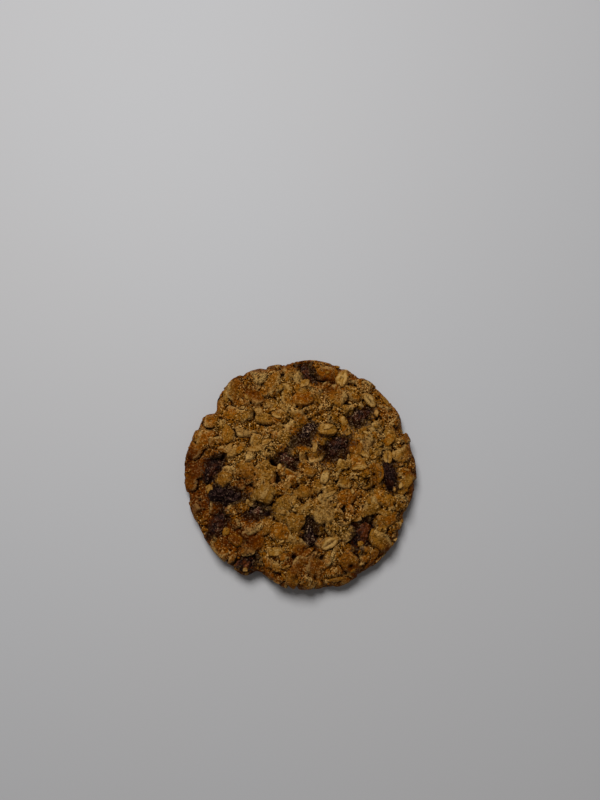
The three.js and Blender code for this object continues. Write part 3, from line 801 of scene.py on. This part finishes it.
cleanCount = len(flakes["cleanBare"])
cleanOats = makeFlakes("clean_oats", partOf(surface["bare"], slice(cleanCount)), oats["clean"])
beddedOats = makeFlakes("bedded_oats", partOf(surface["bare"], slice(cleanCount, None)), oats["bedded"])


# Crumbs and broken bits of oat
bits = {
    "lowest": 2.2, "offRaisins": 0.95,  # the least height, and least distance out from a raisin's middle
    "slivers": {"count": 160, "shortest": 1.4, "longest": 3.4, "slimmest": 0.35, "broadest": 0.75,
                "tilt": 34, "rise": 0.08, "toneRange": 0.6, "towardsPale": 1.5, "browner": 0.3,
                "rings": 5, "around": 8, "thickness": 0.45, "dulled": 0.5, "seed": 100},
    "crumbs": {"count": 240, "shortest": 0.4, "longest": 1.0, "towardsSmall": 1.6, "flatness": 0.75,
               "lumpy": 0.45, "lumps": 1.1, "lumpSeed": 5, "apart": 9.0, "rise": 0.05,
               "palest": 0.3, "toneRange": 0.4, "browner": 0.4, "rim": 0.5, "leastDulled": 0.6,
               "dulledRange": 0.4, "rings": 5, "around": 7, "seed": 140},
    "placed": {
        # middle, length, width, turn, tone, and how far it stands over what it lies on
        "plan": [(-31.5, -5.4, 3.2, 2.3, 55, 0.15, 0.5), (-18.9, -32.6, 1.9, 1.5, 20, 0.0, 0.3),
                 (19.9, -23.9, 2.2, 1.6, 20, 0.3, 0.2), (8.7, 15.4, 4.3, 1.8, 5, 0.0, 0.4),
                 (-26.1, 26.9, 4.4, 2.4, 100, 0.3, 0.1), (-14.7, 21.3, 2.9, 2.1, 20, 0.0, 0.15),
                 (-8.5, 19.2, 3.4, 1.6, -20, 0.1, 0.15), (-24.8, 8.2, 3.6, 2.3, 55, 0.0, 0.15),
                 (-20.6, 8.0, 4.2, 1.9, 50, 0.7, 0.15), (-12.0, 10.2, 4.2, 1.7, 20, 0.1, 0.1),
                 (-15.9, 8.0, 5.2, 2.0, 0, 0.15, 0.1), (-31.3, 19.9, 3.2, 2.6, 30, 0.25, 0.1),
                 (25.9, 20.4, 3.2, 1.3, 80, 0.0, 0.5), (29.4, 25.3, 4.4, 2.8, -45, 0.5, 0.1),
                 (36.4, 12.2, 5.0, 3.4, 45, 0.3, 0.1), (29.9, 11.0, 4.4, 2.8, 70, 0.75, 0.1),
                 (21.4, 6.0, 4.2, 1.6, -30, 0.25, 0.1), (20.0, 1.5, 5.0, 2.2, 5, 0.25, 0.15),
                 (4.6, 8.0, 3.4, 1.7, 80, 0.1, 0.3), (14.5, 17.9, 3.4, 2.4, -60, 0.45, 0.1),
                 (-12.7, -7.1, 5.2, 2.6, 60, 0.1, 0.1), (-32.3, -14.5, 3.6, 2.0, 70, 0.2, 0.1),
                 (-2.6, -9.1, 4.2, 1.9, 50, 0.15, 0.1), (-6.1, -13.5, 2.6, 1.6, 30, 0.1, 0.1),
                 (-25.5, -19.9, 3.2, 2.2, 20, 0.7, 0.0), (9.5, -7.6, 5.0, 1.5, 25, 0.15, 0.1),
                 (36.2, -3.0, 5.2, 2.8, 50, 0.35, 0.1), (27.9, -13.7, 4.4, 1.8, -10, 0.25, 0.1),
                 (1.2, -12.0, 5.0, 3.0, 40, 0.15, 0.1), (2.1, -26.9, 4.6, 2.0, 40, 0.2, 0.1),
                 (11.6, -36.0, 4.8, 1.6, 10, 0.3, 0.1), (17.5, -33.0, 4.8, 1.4, 45, 0.4, 0.1),
                 (24.6, -27.5, 4.5, 2.8, 45, 0.4, 0.1), (26.6, -1.0, 5.2, 2.4, 84, 0.75, 0.4),
                 (1.0, 31.0, 4.4, 2.4, 40, 0.15, 0.1), (-4.8, 29.2, 3.6, 2.2, -30, 0.2, 0.1)],
        "rings": 12, "around": 26, "thickness": 0.6, "dulled": 0.45, "tilt": 8,
        # what it rests on: how far out the dough is searched, in its own length, and the percentile taken
        "searched": 0.4, "uneven": 60,
        "fullness": 1.15,  # makes up for what the ragged outline takes off the length and width
    },
}


# Drawn points of the baked surface, off the underside and off the raisins
def drawnPlaces(count, seed):
    i = np.arange(count * 3)
    at = np.floor(draw(i, seed) * len(surface["points"])).astype(int)
    points, normals = surface["points"][at], surface["normals"][at]
    nearest = np.min(raisinDistances(points[:, 0], points[:, 1]), axis=0)
    onTop = (points[:, 2] > bits["lowest"]) & (normals[:, 2] > 0)
    kept = np.flatnonzero(onTop & (nearest > bits["offRaisins"]))[:count]
    return points[kept], normals[kept], i[kept]


# Bits of flakes of the same form as whole ones, at drawn places
def makeSlivers():
    size, seed = bits["slivers"], bits["slivers"]["seed"]
    points, normals, i = drawnPlaces(size["count"], seed)
    length = mix(size["shortest"], size["longest"], draw(i, seed + 1))
    width = length * mix(size["slimmest"], size["broadest"], draw(i, seed + 2))
    tilt = size["tilt"] * (2 * draw(i, seed + 3) - 1)
    tone = size["toneRange"] * draw(i, seed + 5) ** size["towardsPale"] + size["browner"] * browning(points)
    laid = flakeSet(points + normals * size["rise"], normals, 360 * draw(i, seed + 4), tilt,
                    length, width, tone)
    return makeFlakes("oat_bits", laid, size)


# The height of what lies uppermost at a place: a percentile of the heights of the baked dough near it,
# or a raisin's plain ellipsoid where that is higher
def uppermost(x, y, reach):
    points = surface["points"]
    near = (np.hypot(points[:, 0] - x, points[:, 1] - y) < reach) & (points[:, 2] > dough["waist"])
    height = np.percentile(points[near, 2], bits["placed"]["uneven"])
    for raisin, out in zip(raisins["plan"], raisinDistances(x, y)):
        if out < 1:
            half = raisin[3] * raisins["flatness"] / 2
            height = max(height, raisinLevel(raisin) + half * np.sqrt(1 - out ** 2))
    return height


# Pale broken pieces of flakes that lie on top, each in its own place
def makePlacedSlivers():
    size = bits["placed"]
    x, y, length, width, turn, tone, rise = np.array(size["plan"]).T
    height = np.array([uppermost(*place) for place in zip(x, y, size["searched"] * length)])
    tilt = size["tilt"] * (2 * draw(np.arange(len(x)), 41) - 1)
    middles = np.stack([x, y, height + rise], -1)
    length, width = length * size["fullness"], width * size["fullness"]
    laid = flakeSet(middles, topNormals(x, y), turn, tilt, length, width, tone)
    return makeFlakes("oat_slivers", laid, size)


# Crumbs: small spheres with a lumpy radius, a little flattened
def makeCrumbs():
    size, seed = bits["crumbs"], bits["crumbs"]["seed"]
    middles, normals, i = drawnPlaces(size["count"], seed)
    diameter = mix(size["shortest"], size["longest"], draw(i, seed + 1) ** size["towardsSmall"])
    share = np.linspace(0, np.pi, size["rings"])[None, :, None]
    angle = (np.arange(size["around"]) * 2 * np.pi / size["around"])[None, None, :]
    ball = np.stack(np.broadcast_arrays(np.sin(share) * np.cos(angle), np.sin(share) * np.sin(angle),
                                        size["flatness"] * np.cos(share) + 0 * angle), -1)
    place = ball * 2 + size["apart"] * i[:, None, None, None]
    lumpy = 1 + size["lumpy"] * noise(*np.moveaxis(place, -1, 0), size["lumps"], size["lumpSeed"])
    local = ball * lumpy[..., None] * (diameter / 2)[:, None, None, None]
    axes = flakeAxes(normals, 360 * draw(i, seed + 2), 0 * diameter)
    lifted = middles + normals * size["rise"]
    points = np.einsum("kria,kab->krib", local, axes) + lifted[:, None, None, :]
    full = np.ones(points.shape[:3])
    brown = browning(middles)
    tone = size["palest"] + size["toneRange"] * draw(i, seed + 3) + size["browner"] * brown
    shade = size["leastDulled"] + size["dulledRange"] * draw(i, seed + 4)
    values = {"tone": full * tone[:, None, None], "crease": full * 0, "rim": full * size["rim"],
              "shade": full * shade[:, None, None], "streak": full * 0,
              "browned": full * brown[:, None, None]}
    return makeShapes("crumbs", points, values)


oatBits = makeSlivers()
oatSlivers = makePlacedSlivers()
crumbs = makeCrumbs()


skin = {
    # folds: how deep and narrow they are, and how long the noise is that they follow
    "foldDepth": 0.22, "foldWidth": 0.2, "folds": 1.7, "foldStretch": 0.42,
    # fineFoldShade: how much of the painted shade of the folds the finer folds take
    "fineDepth": 0.09, "fineWidth": 0.24, "fineFolds": 0.75, "fineInFold": 0.5, "fineFoldShade": 0.6,
    "warp": {"reach": 0.7, "wavelength": 2.6, "layers": 2, "seed": 7},
    "dent": 0.28, "dents": 5.0, "dentFade": (0.1, 0.8),
    "atEnds": 0.35,  # how much of the folds and dents is left at the ends
    "endwise": 0.35,  # how much of what draws the skin in also shortens the raisin
    "grainSize": 0.85, "grainHeight": 0.16, "grainMean": 0.7, "grainSeed": 31,
    "dustNoise": (2.2, 3, 91), "dustSpread": 1.5, "dustStarts": 0.6, "dustFade": 0.5, "leastDust": 0.4,
    "apart": 23.0,  # the step in the noise from one raisin to the next, so that no two are the same
}


# A raisin: an ellipsoid with its poles at the ends. Its skin is drawn in where stretched noise passes zero,
# so that rounded ridges run along it between sharp folds, with a finer layer of the same across them
def makeRaisin(number, x, y, length, width, turn, level, dust, redness):
    warp = skin["warp"]
    share = np.linspace(0, np.pi, raisins["rings"])[None, :, None]
    angle = (np.arange(raisins["around"]) * 2 * np.pi / raisins["around"])[None, None, :]
    half = np.array([length, width, width * raisins["flatness"]]) / 2
    ball = np.stack(np.broadcast_arrays(np.cos(share) + 0 * angle, np.sin(share) * np.cos(angle),
                                        np.sin(share) * np.sin(angle)), -1)
    place = ball * half + skin["apart"] * number
    shifts = [crumble(place, warp["wavelength"], warp["layers"], warp["seed"] + axis) for axis in range(3)]
    stretched = (place + warp["reach"] * np.stack(shifts, -1)) * np.array([skin["foldStretch"], 1.0, 1.0])
    main = noise(*np.moveaxis(stretched, -1, 0), skin["folds"], 3 * number)
    fine = noise(*np.moveaxis(stretched @ layerTurn.T, -1, 0), skin["fineFolds"], 3 * number + 1)
    valley = np.exp(-(main / skin["foldWidth"]) ** 2)
    fineValley = np.exp(-(fine / skin["fineWidth"]) ** 2)
    dented = noise(*np.moveaxis(place, -1, 0), skin["dents"], number)
    dent = skin["dent"] * smooth(dented, *skin["dentFade"])
    ends = skin["atEnds"] + (1 - skin["atEnds"]) * np.sin(share)
    folded = ends * (skin["foldDepth"] * valley + dent)
    drawnIn = 1 - folded - skin["fineDepth"] * fineValley * (1 - skin["fineInFold"] * valley)
    crumbly = grains(place, skin["grainSize"], skin["grainSeed"]) - skin["grainMean"]
    drawnIn = drawnIn + ends * (skin["grainHeight"] * crumbly)
    local = ball * half * np.stack([mix(1, drawnIn, skin["endwise"]), drawnIn, drawnIn], -1)
    c, s = np.cos(np.radians(turn)), np.sin(np.radians(turn))
    points = np.stack([x + local[..., 0] * c - local[..., 1] * s, y + local[..., 0] * s + local[..., 1] * c,
                       np.maximum(level + local[..., 2], raisins["baseClearance"])], -1)
    clinging = crumble(place, *skin["dustNoise"]) + skin["dustSpread"] * dust - skin["dustStarts"]
    dusted = smooth(clinging, 0, skin["dustFade"]) * (skin["leastDust"] + (1 - skin["leastDust"]) * dust)
    # fold: where the skin is drawn in, which the finish darkens as painted shade
    values = {"fold": np.maximum(valley, skin["fineFoldShade"] * fineValley), "dust": dusted,
              "redness": redness + 0 * fine}
    piece = makeShapes(f"raisin_skin_{number:02d}", points, values)
    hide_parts(f"raisin_{number:02d}")
    return piece


# Those on top, then those pressed into the base
def makeRaisins():
    made = []
    for number, (raisin, redness) in enumerate(zip(raisins["plan"], raisins["redness"]), 1):
        made.append(makeRaisin(number, *raisin[:5], raisinLevel(raisin), raisin[6], redness))
    for number, raisin in enumerate(raisins["basePlan"], len(made) + 1):
        level = raisin[3] * raisins["flatness"] / 2 * raisins["basePress"]
        made.append(makeRaisin(number, *raisin, level, raisins["baseDust"], raisins["baseRedness"]))
    return made


raisinPieces = makeRaisins()


# Colours as they are seen on a screen, 0 to 255
tints = {
    "crumb": (132, 81, 10), "greyCrumb": (120, 81, 25), "toast": (140, 70, 3), "deepToast": (84, 33, 1),
    "creviceShade": (9, 0, 0), "shadow": (66, 25, 2), "darkSpeckAndShade": (10, 0, 0), "fleckAndHighlight": (222, 174, 102),
    "darkRound": (27, 7, 3), "oatPale": (204, 162, 94), "oatTan": (158, 110, 38), "oatToast": (168, 92, 3),
    "oatCreaseShade": (72, 36, 6), "raisin": (9, 3, 4), "raisinRed": (108, 52, 14), "raisinDustAndGlint": (156, 124, 92),
    "floor": (198, 198, 200), "gloss": (255, 150, 80), "raisinGloss": (255, 190, 168),
}

# For each finish: the scales of its noise, the finest with its detail and roughness, the sizes of its
# grains in metres, how strong its gloss is, and the height in metres and strength of its bump
finishes = {
    "dough": {"noises": (110, 230, 520), "fine": (1500, 4, 0.65), "grains": (0.00037, 0.0008),
              "gloss": 0.06, "bump": (0.0004, 1.0)},
    "oat": {"medium": 620, "fine": (2200, 4, 0.6), "grain": 0.00034, "gloss": 0.1, "bump": (0.0005, 0.9)},
    "raisin": {"medium": 420, "fine": (1900, 4, 0.6), "grain": 0.0004, "gloss": 0.22, "bump": (0.0003, 0.8)},
    "floor": {"broad": 6, "roughness": 0.6},
    "wobble": {"scale": 2600, "reach": 0.0005},  # what makes the outlines of the grains uneven
}


# A screen colour as the amount of light that the shader takes
def tint(name):
    value = np.array(tints[name]) / 255
    light = np.where(value <= 0.04045, value / 12.92, ((value + 0.055) / 1.055) ** 2.4)
    return (*light.tolist(), 1.0)


# Small wrappers for a node tree: each gives back the socket that carries its result
class finishTree:
    def __init__(self, name):
        self.material = bpy.data.materials.new(name)
        self.material.use_nodes = True
        self.tree = self.material.node_tree
        self.shader = self.tree.nodes["Principled BSDF"]
        self.place = self.tree.nodes.new("ShaderNodeTexCoord").outputs["Object"]
        wobble = self.tree.nodes.new("ShaderNodeTexNoise")
        wobble.inputs["Scale"].default_value = finishes["wobble"]["scale"]
        self.feed(wobble.inputs["Vector"], self.place)
        shift = self.tree.nodes.new("ShaderNodeVectorMath")
        shift.operation = "MULTIPLY_ADD"
        shift.inputs[1].default_value = [finishes["wobble"]["reach"]] * 3
        self.feed(shift.inputs[0], wobble.outputs["Color"])
        self.feed(shift.inputs[2], self.place)
        self.wobbled = shift.outputs[0]

    def feed(self, socket, value):
        if isinstance(value, bpy.types.NodeSocket):
            self.tree.links.new(value, socket)
        else:
            socket.default_value = value

    def attribute(self, name):
        node = self.tree.nodes.new("ShaderNodeAttribute")
        node.attribute_name = name
        return node.outputs["Fac"]

    def noise(self, scale, detail=3, roughness=0.55):
        node = self.tree.nodes.new("ShaderNodeTexNoise")
        node.inputs["Scale"].default_value = scale
        node.inputs["Detail"].default_value = detail
        node.inputs["Roughness"].default_value = roughness
        self.feed(node.inputs["Vector"], self.place)
        return node.outputs["Fac"]

    # An even draw from 0 to 1 for each grain of a size in metres, with wobbly outlines
    def cells(self, size):
        node = self.tree.nodes.new("ShaderNodeTexVoronoi")
        node.inputs["Scale"].default_value = 1 / size
        self.feed(node.inputs["Vector"], self.wobbled)
        split = self.tree.nodes.new("ShaderNodeSeparateColor")
        self.feed(split.inputs["Color"], node.outputs["Color"])
        return split.outputs["Red"]

    # Eased from one amount to another as a value goes from low to high
    def spread(self, value, low, high, toLow=0.0, toHigh=1.0):
        node = self.tree.nodes.new("ShaderNodeMapRange")
        node.interpolation_type = "SMOOTHSTEP"
        settings = {"Value": value, "From Min": low, "From Max": high, "To Min": toLow, "To Max": toHigh}
        for name, setting in settings.items():
            self.feed(node.inputs[name], setting)
        return node.outputs["Result"]

    def maths(self, operation, first, second):
        node = self.tree.nodes.new("ShaderNodeMath")
        node.operation = operation
        self.feed(node.inputs[0], first)
        self.feed(node.inputs[1], second)
        return node.outputs[0]

    def times(self, first, second):
        return self.maths("MULTIPLY", first, second)

    def plus(self, first, second):
        return self.maths("ADD", first, second)

    def swing(self, value, middle, strength):  # how far a value is from its middle, made stronger or weaker
        return self.times(self.maths("SUBTRACT", value, middle), strength)

    def blend(self, first, second, share):
        node = self.tree.nodes.new("ShaderNodeMix")
        node.data_type = "RGBA"
        self.feed(node.inputs["Factor"], share)
        self.feed(node.inputs[6], first)
        self.feed(node.inputs[7], second)
        return node.outputs[2]

    def over(self, colour, name, share):  # a named tint laid over a colour
        return self.blend(colour, tint(name), share)

    # Puts the colour, the roughness and the relief of the finest grain on the shader
    def finish(self, look, colour, roughness, relief, glossTint="gloss"):
        self.feed(self.shader.inputs["Base Color"], colour)
        self.feed(self.shader.inputs["Roughness"], roughness)
        self.shader.inputs["Specular IOR Level"].default_value = look["gloss"]
        self.shader.inputs["Specular Tint"].default_value = tint(glossTint)
        node = self.tree.nodes.new("ShaderNodeBump")
        node.inputs["Distance"].default_value, node.inputs["Strength"].default_value = look["bump"]
        self.feed(node.inputs["Height"], relief)
        self.feed(self.shader.inputs["Normal"], node.outputs["Normal"])
        return self.material


# Brown and grey-brown crumb, then the tones of its flakes, the baked places, and the specks over all of it
def makeDoughFinish():
    f, look = finishTree("baked_dough"), finishes["dough"]
    broad, patch, medium = (f.noise(scale) for scale in look["noises"])
    fine = f.noise(*look["fine"])
    grain, pore = (f.cells(size) for size in look["grains"])
    colour = f.over(tint("crumb"), "greyCrumb", f.spread(broad, 0.4, 0.62))
    tone = f.attribute("tone")
    flake = f.over(tint("oatPale"), "oatTan", f.spread(tone, 0.0, 0.3))
    golden = f.times(f.spread(tone, 0.3, 0.85), f.spread(patch, 0.36, 0.58, 0.2, 1.0))
    flake = f.over(flake, "oatToast", golden)
    coverage = f.times(f.attribute("onFlake"), f.spread(medium, 0.35, 0.65, 0.5, 0.95))
    colour = f.blend(colour, flake, coverage)
    browned, underside, cavity = (f.attribute(name) for name in ("browned", "underside", "cavity"))
    colour = f.over(colour, "toast", f.times(browned, f.spread(patch, 0.32, 0.62, 0.4, 1.0)))
    scorched = f.plus(browned, f.swing(medium, 0.5, 1.2))
    colour = f.over(colour, "deepToast", f.spread(scorched, 0.4, 1.0, 0.0, 0.9))
    colour = f.over(colour, "toast", f.times(underside, 0.75))
    colour = f.over(colour, "deepToast", f.times(underside, f.spread(patch, 0.4, 0.62, 0.1, 0.8)))
    # paler here and there along the raised edge of a flake, partly bare oat and partly painted highlight;
    # painted highlight on the highest places; painted shade in the gaps
    brink = f.times(f.attribute("edge"), f.spread(medium, 0.36, 0.56, 0.15, 0.75))
    colour = f.over(colour, "oatPale", brink)
    above = f.spread(underside, 0.0, 1.0, 1.0, 0.4)
    # painted highlight: the pale fleck colour on the highest places
    colour = f.over(colour, "fleckAndHighlight", f.times(above, f.spread(cavity, -0.6, -0.15, 0.25, 0.0)))
    # painted shade: the shadow colour laid in the gaps
    colour = f.over(colour, "shadow", f.spread(cavity, 0.1, 0.45, 0.0, 0.6))
    # specks lie thicker in some places than in others, and thinner on flakes, where brown, and underneath
    patchy = f.plus(grain, f.swing(broad, 0.5, 0.5))
    calm = f.times(above, f.spread(coverage, 0.1, 0.9, 1.0, 0.4))
    pale = f.times(f.times(above, calm), f.spread(browned, 0.2, 1.0, 1.0, 0.35))
    dark = f.times(calm, f.spread(browned, 0.5, 1.0, 1.0, 0.6))
    # pale specks: pale grains of the crumb, and partly painted glints
    colour = f.over(colour, "fleckAndHighlight", f.times(pale, f.spread(patchy, 0.76, 0.9, 0.0, 0.9)))
    # the dark round a raisin ends in specks
    ragged = f.plus(f.attribute("darkRound"), f.plus(f.swing(fine, 0.5, 1.4), f.swing(grain, 0.5, 0.9)))
    darkenedRound = f.spread(ragged, 0.4, 0.75, 0.0, 0.95)
    # darker round each raisin
    colour = f.over(colour, "darkRound", darkenedRound)
    colour = f.over(colour, "raisinDustAndGlint", f.times(darkenedRound, f.spread(grain, 0.72, 0.92, 0.0, 0.35)))
    colour = f.over(colour, "darkSpeckAndShade", f.times(dark, f.spread(patchy, 0.37, 0.28, 0.0, 0.95)))
    colour = f.over(colour, "darkSpeckAndShade", f.times(dark, f.spread(pore, 0.07, 0.04, 0.0, 0.9)))
    # painted shade: near black in the deepest gaps
    colour = f.over(colour, "creviceShade", f.spread(cavity, 0.3, 0.65, 0.0, 0.95))
    roughness = f.spread(medium, 0.35, 0.65, 0.45, 0.8)
    return f.finish(look, colour, roughness, f.plus(fine, f.times(grain, 0.4)))


# Straw to toasted by tone, streaked, then dulled and browned as the dough round it, with painted shade in
# the crease
def makeOatFinish():
    f, look = finishTree("rolled_oat"), finishes["oat"]
    medium, fine, grain = f.noise(look["medium"]), f.noise(*look["fine"]), f.cells(look["grain"])
    tone = f.plus(f.attribute("tone"), f.swing(medium, 0.46, 0.9))
    tone = f.plus(tone, f.times(f.attribute("streak"), 0.3))
    colour = f.over(tint("oatPale"), "oatTan", f.spread(tone, 0.05, 0.42))
    colour = f.over(colour, "oatToast", f.spread(tone, 0.55, 1.0))
    shade = f.attribute("shade")
    colour = f.over(colour, "crumb", f.spread(shade, 0.0, 1.0, 0.0, 0.85))
    coated, browned = f.spread(shade, 0.35, 0.6), f.attribute("browned")  # the clean ones stay pale
    colour = f.over(colour, "toast", f.times(coated, f.spread(browned, 0.2, 0.8, 0.0, 0.8)))
    colour = f.over(colour, "deepToast", f.times(coated, f.spread(browned, 0.4, 1.0, 0.0, 0.8)))
    # painted shade in the crease
    colour = f.over(colour, "oatCreaseShade", f.spread(f.attribute("crease"), 0.3, 1.0, 0.0, 0.75))
    colour = f.over(colour, "crumb", f.spread(f.attribute("rim"), 0.6, 1.0, 0.0, 0.75))
    colour = f.over(colour, "fleckAndHighlight", f.spread(grain, 0.8, 0.95, 0.0, 0.4))
    colour = f.over(colour, "darkSpeckAndShade", f.spread(grain, 0.16, 0.08, 0.0, 0.6))
    return f.finish(look, colour, f.spread(medium, 0.35, 0.65, 0.45, 0.75), fine)


# Black to red-brown skin, with painted shade in the folds, dough clinging to it in grains, and a few pale
# grains of painted glint
def makeRaisinFinish():
    f, look = finishTree("raisin_skin"), finishes["raisin"]
    medium, fine, grain = f.noise(look["medium"]), f.noise(*look["fine"]), f.cells(look["grain"])
    reddened = f.times(f.attribute("redness"), f.spread(medium, 0.42, 0.56))
    colour = f.over(tint("raisin"), "raisinRed", reddened)
    # painted shade: the folds darkened with the dark speck colour
    colour = f.over(colour, "darkSpeckAndShade", f.times(f.attribute("fold"), 0.75))
    clinging = f.spread(f.attribute("dust"), 0.0, 0.9, 0.02, 0.85)
    dusted = f.times(clinging, f.spread(grain, 0.68, 0.92))
    # painted glints: a few pale grains over all of the skin
    dusted = f.maths("MAXIMUM", dusted, f.spread(grain, 0.93, 0.97, 0.0, 0.3))
    colour = f.over(colour, "raisinDustAndGlint", dusted)
    return f.finish(look, colour, f.spread(fine, 0.42, 0.58, 0.14, 0.6), fine, "raisinGloss")


doughFinish, oatFinish, raisinFinish = makeDoughFinish(), makeOatFinish(), makeRaisinFinish()
for piece, finish in [(doughPiece, doughFinish), (cleanOats, oatFinish), (beddedOats, oatFinish),
                      (oatBits, oatFinish), (oatSlivers, oatFinish), (crumbs, oatFinish)]:
    piece.data.materials.append(finish)
    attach(piece, "root")
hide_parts("dough")
for piece in raisinPieces:
    piece.data.materials.append(raisinFinish)
    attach(piece, "root")
print("pieces dressed")


# Metres, watts and, for the camera, degrees and the lens in millimetres
studio = {
    "floorHalf": 1.5, "keySize": 0.36, "keyPlace": (-0.12, 0.34, 0.64), "keyWatts": 3.9,
    "skyStrength": 0.11, "skyColour": (1.0, 0.99, 0.97, 1.0),
}

camera = {"lens": 40.5, "distance": 0.3105, "seenFrom": 86.0, "aimed": 81.34, "lookAt": 0.006,
          "nearest": 0.01}


def makeFloor():
    half, look = studio["floorHalf"], finishes["floor"]
    corners = [(-half, -half, 0), (half, -half, 0), (half, half, 0), (-half, half, 0)]
    mesh = bpy.data.meshes.new("floor")
    mesh.from_pydata(corners, [], [(0, 1, 2, 3)])
    floor = bpy.data.objects.new("floor", mesh)
    bpy.context.scene.collection.objects.link(floor)
    f = finishTree("pale_floor")
    colour = f.over(tint("floor"), "fleckAndHighlight", f.spread(f.noise(look["broad"]), 0.3, 0.7, 0.0, 0.02))
    f.feed(f.shader.inputs["Base Color"], colour)
    f.shader.inputs["Roughness"].default_value = look["roughness"]
    mesh.materials.append(f.material)


# One soft round lamp aimed at the cookie, and a faint even sky
def makeLights():
    key = bpy.data.lights.new("key", "AREA")
    key.shape = "DISK"
    key.size = studio["keySize"]
    key.energy = studio["keyWatts"]
    lamp = bpy.data.objects.new("key", key)
    lamp.location = studio["keyPlace"]
    direction = -lamp.location.normalized()
    lamp.rotation_euler = direction.to_track_quat("-Z", "Y").to_euler()
    bpy.context.scene.collection.objects.link(lamp)
    world = bpy.data.worlds.new("studio")
    world.use_nodes = True
    sky = world.node_tree.nodes["Background"]
    sky.inputs["Color"].default_value = studio["skyColour"]
    sky.inputs["Strength"].default_value = studio["skyStrength"]
    bpy.context.scene.world = world


# The camera stands on the line at seenFrom over the cookie, and is aimed lower, past it
def makeCamera():
    lens = bpy.data.cameras.new("camera")
    lens.lens = camera["lens"]
    lens.clip_start = camera["nearest"]
    body = bpy.data.objects.new("camera", lens)
    up, distance = np.radians(camera["seenFrom"]), camera["distance"]
    body.location = (0, -distance * np.cos(up), camera["lookAt"] + distance * np.sin(up))
    body.rotation_euler = (np.radians(90 - camera["aimed"]), 0, 0)
    bpy.context.scene.collection.objects.link(body)
    bpy.context.scene.camera = body


makeFloor()
makeLights()
makeCamera()
bpy.context.scene.view_settings.view_transform = "Standard"
print("floor, light and camera made")
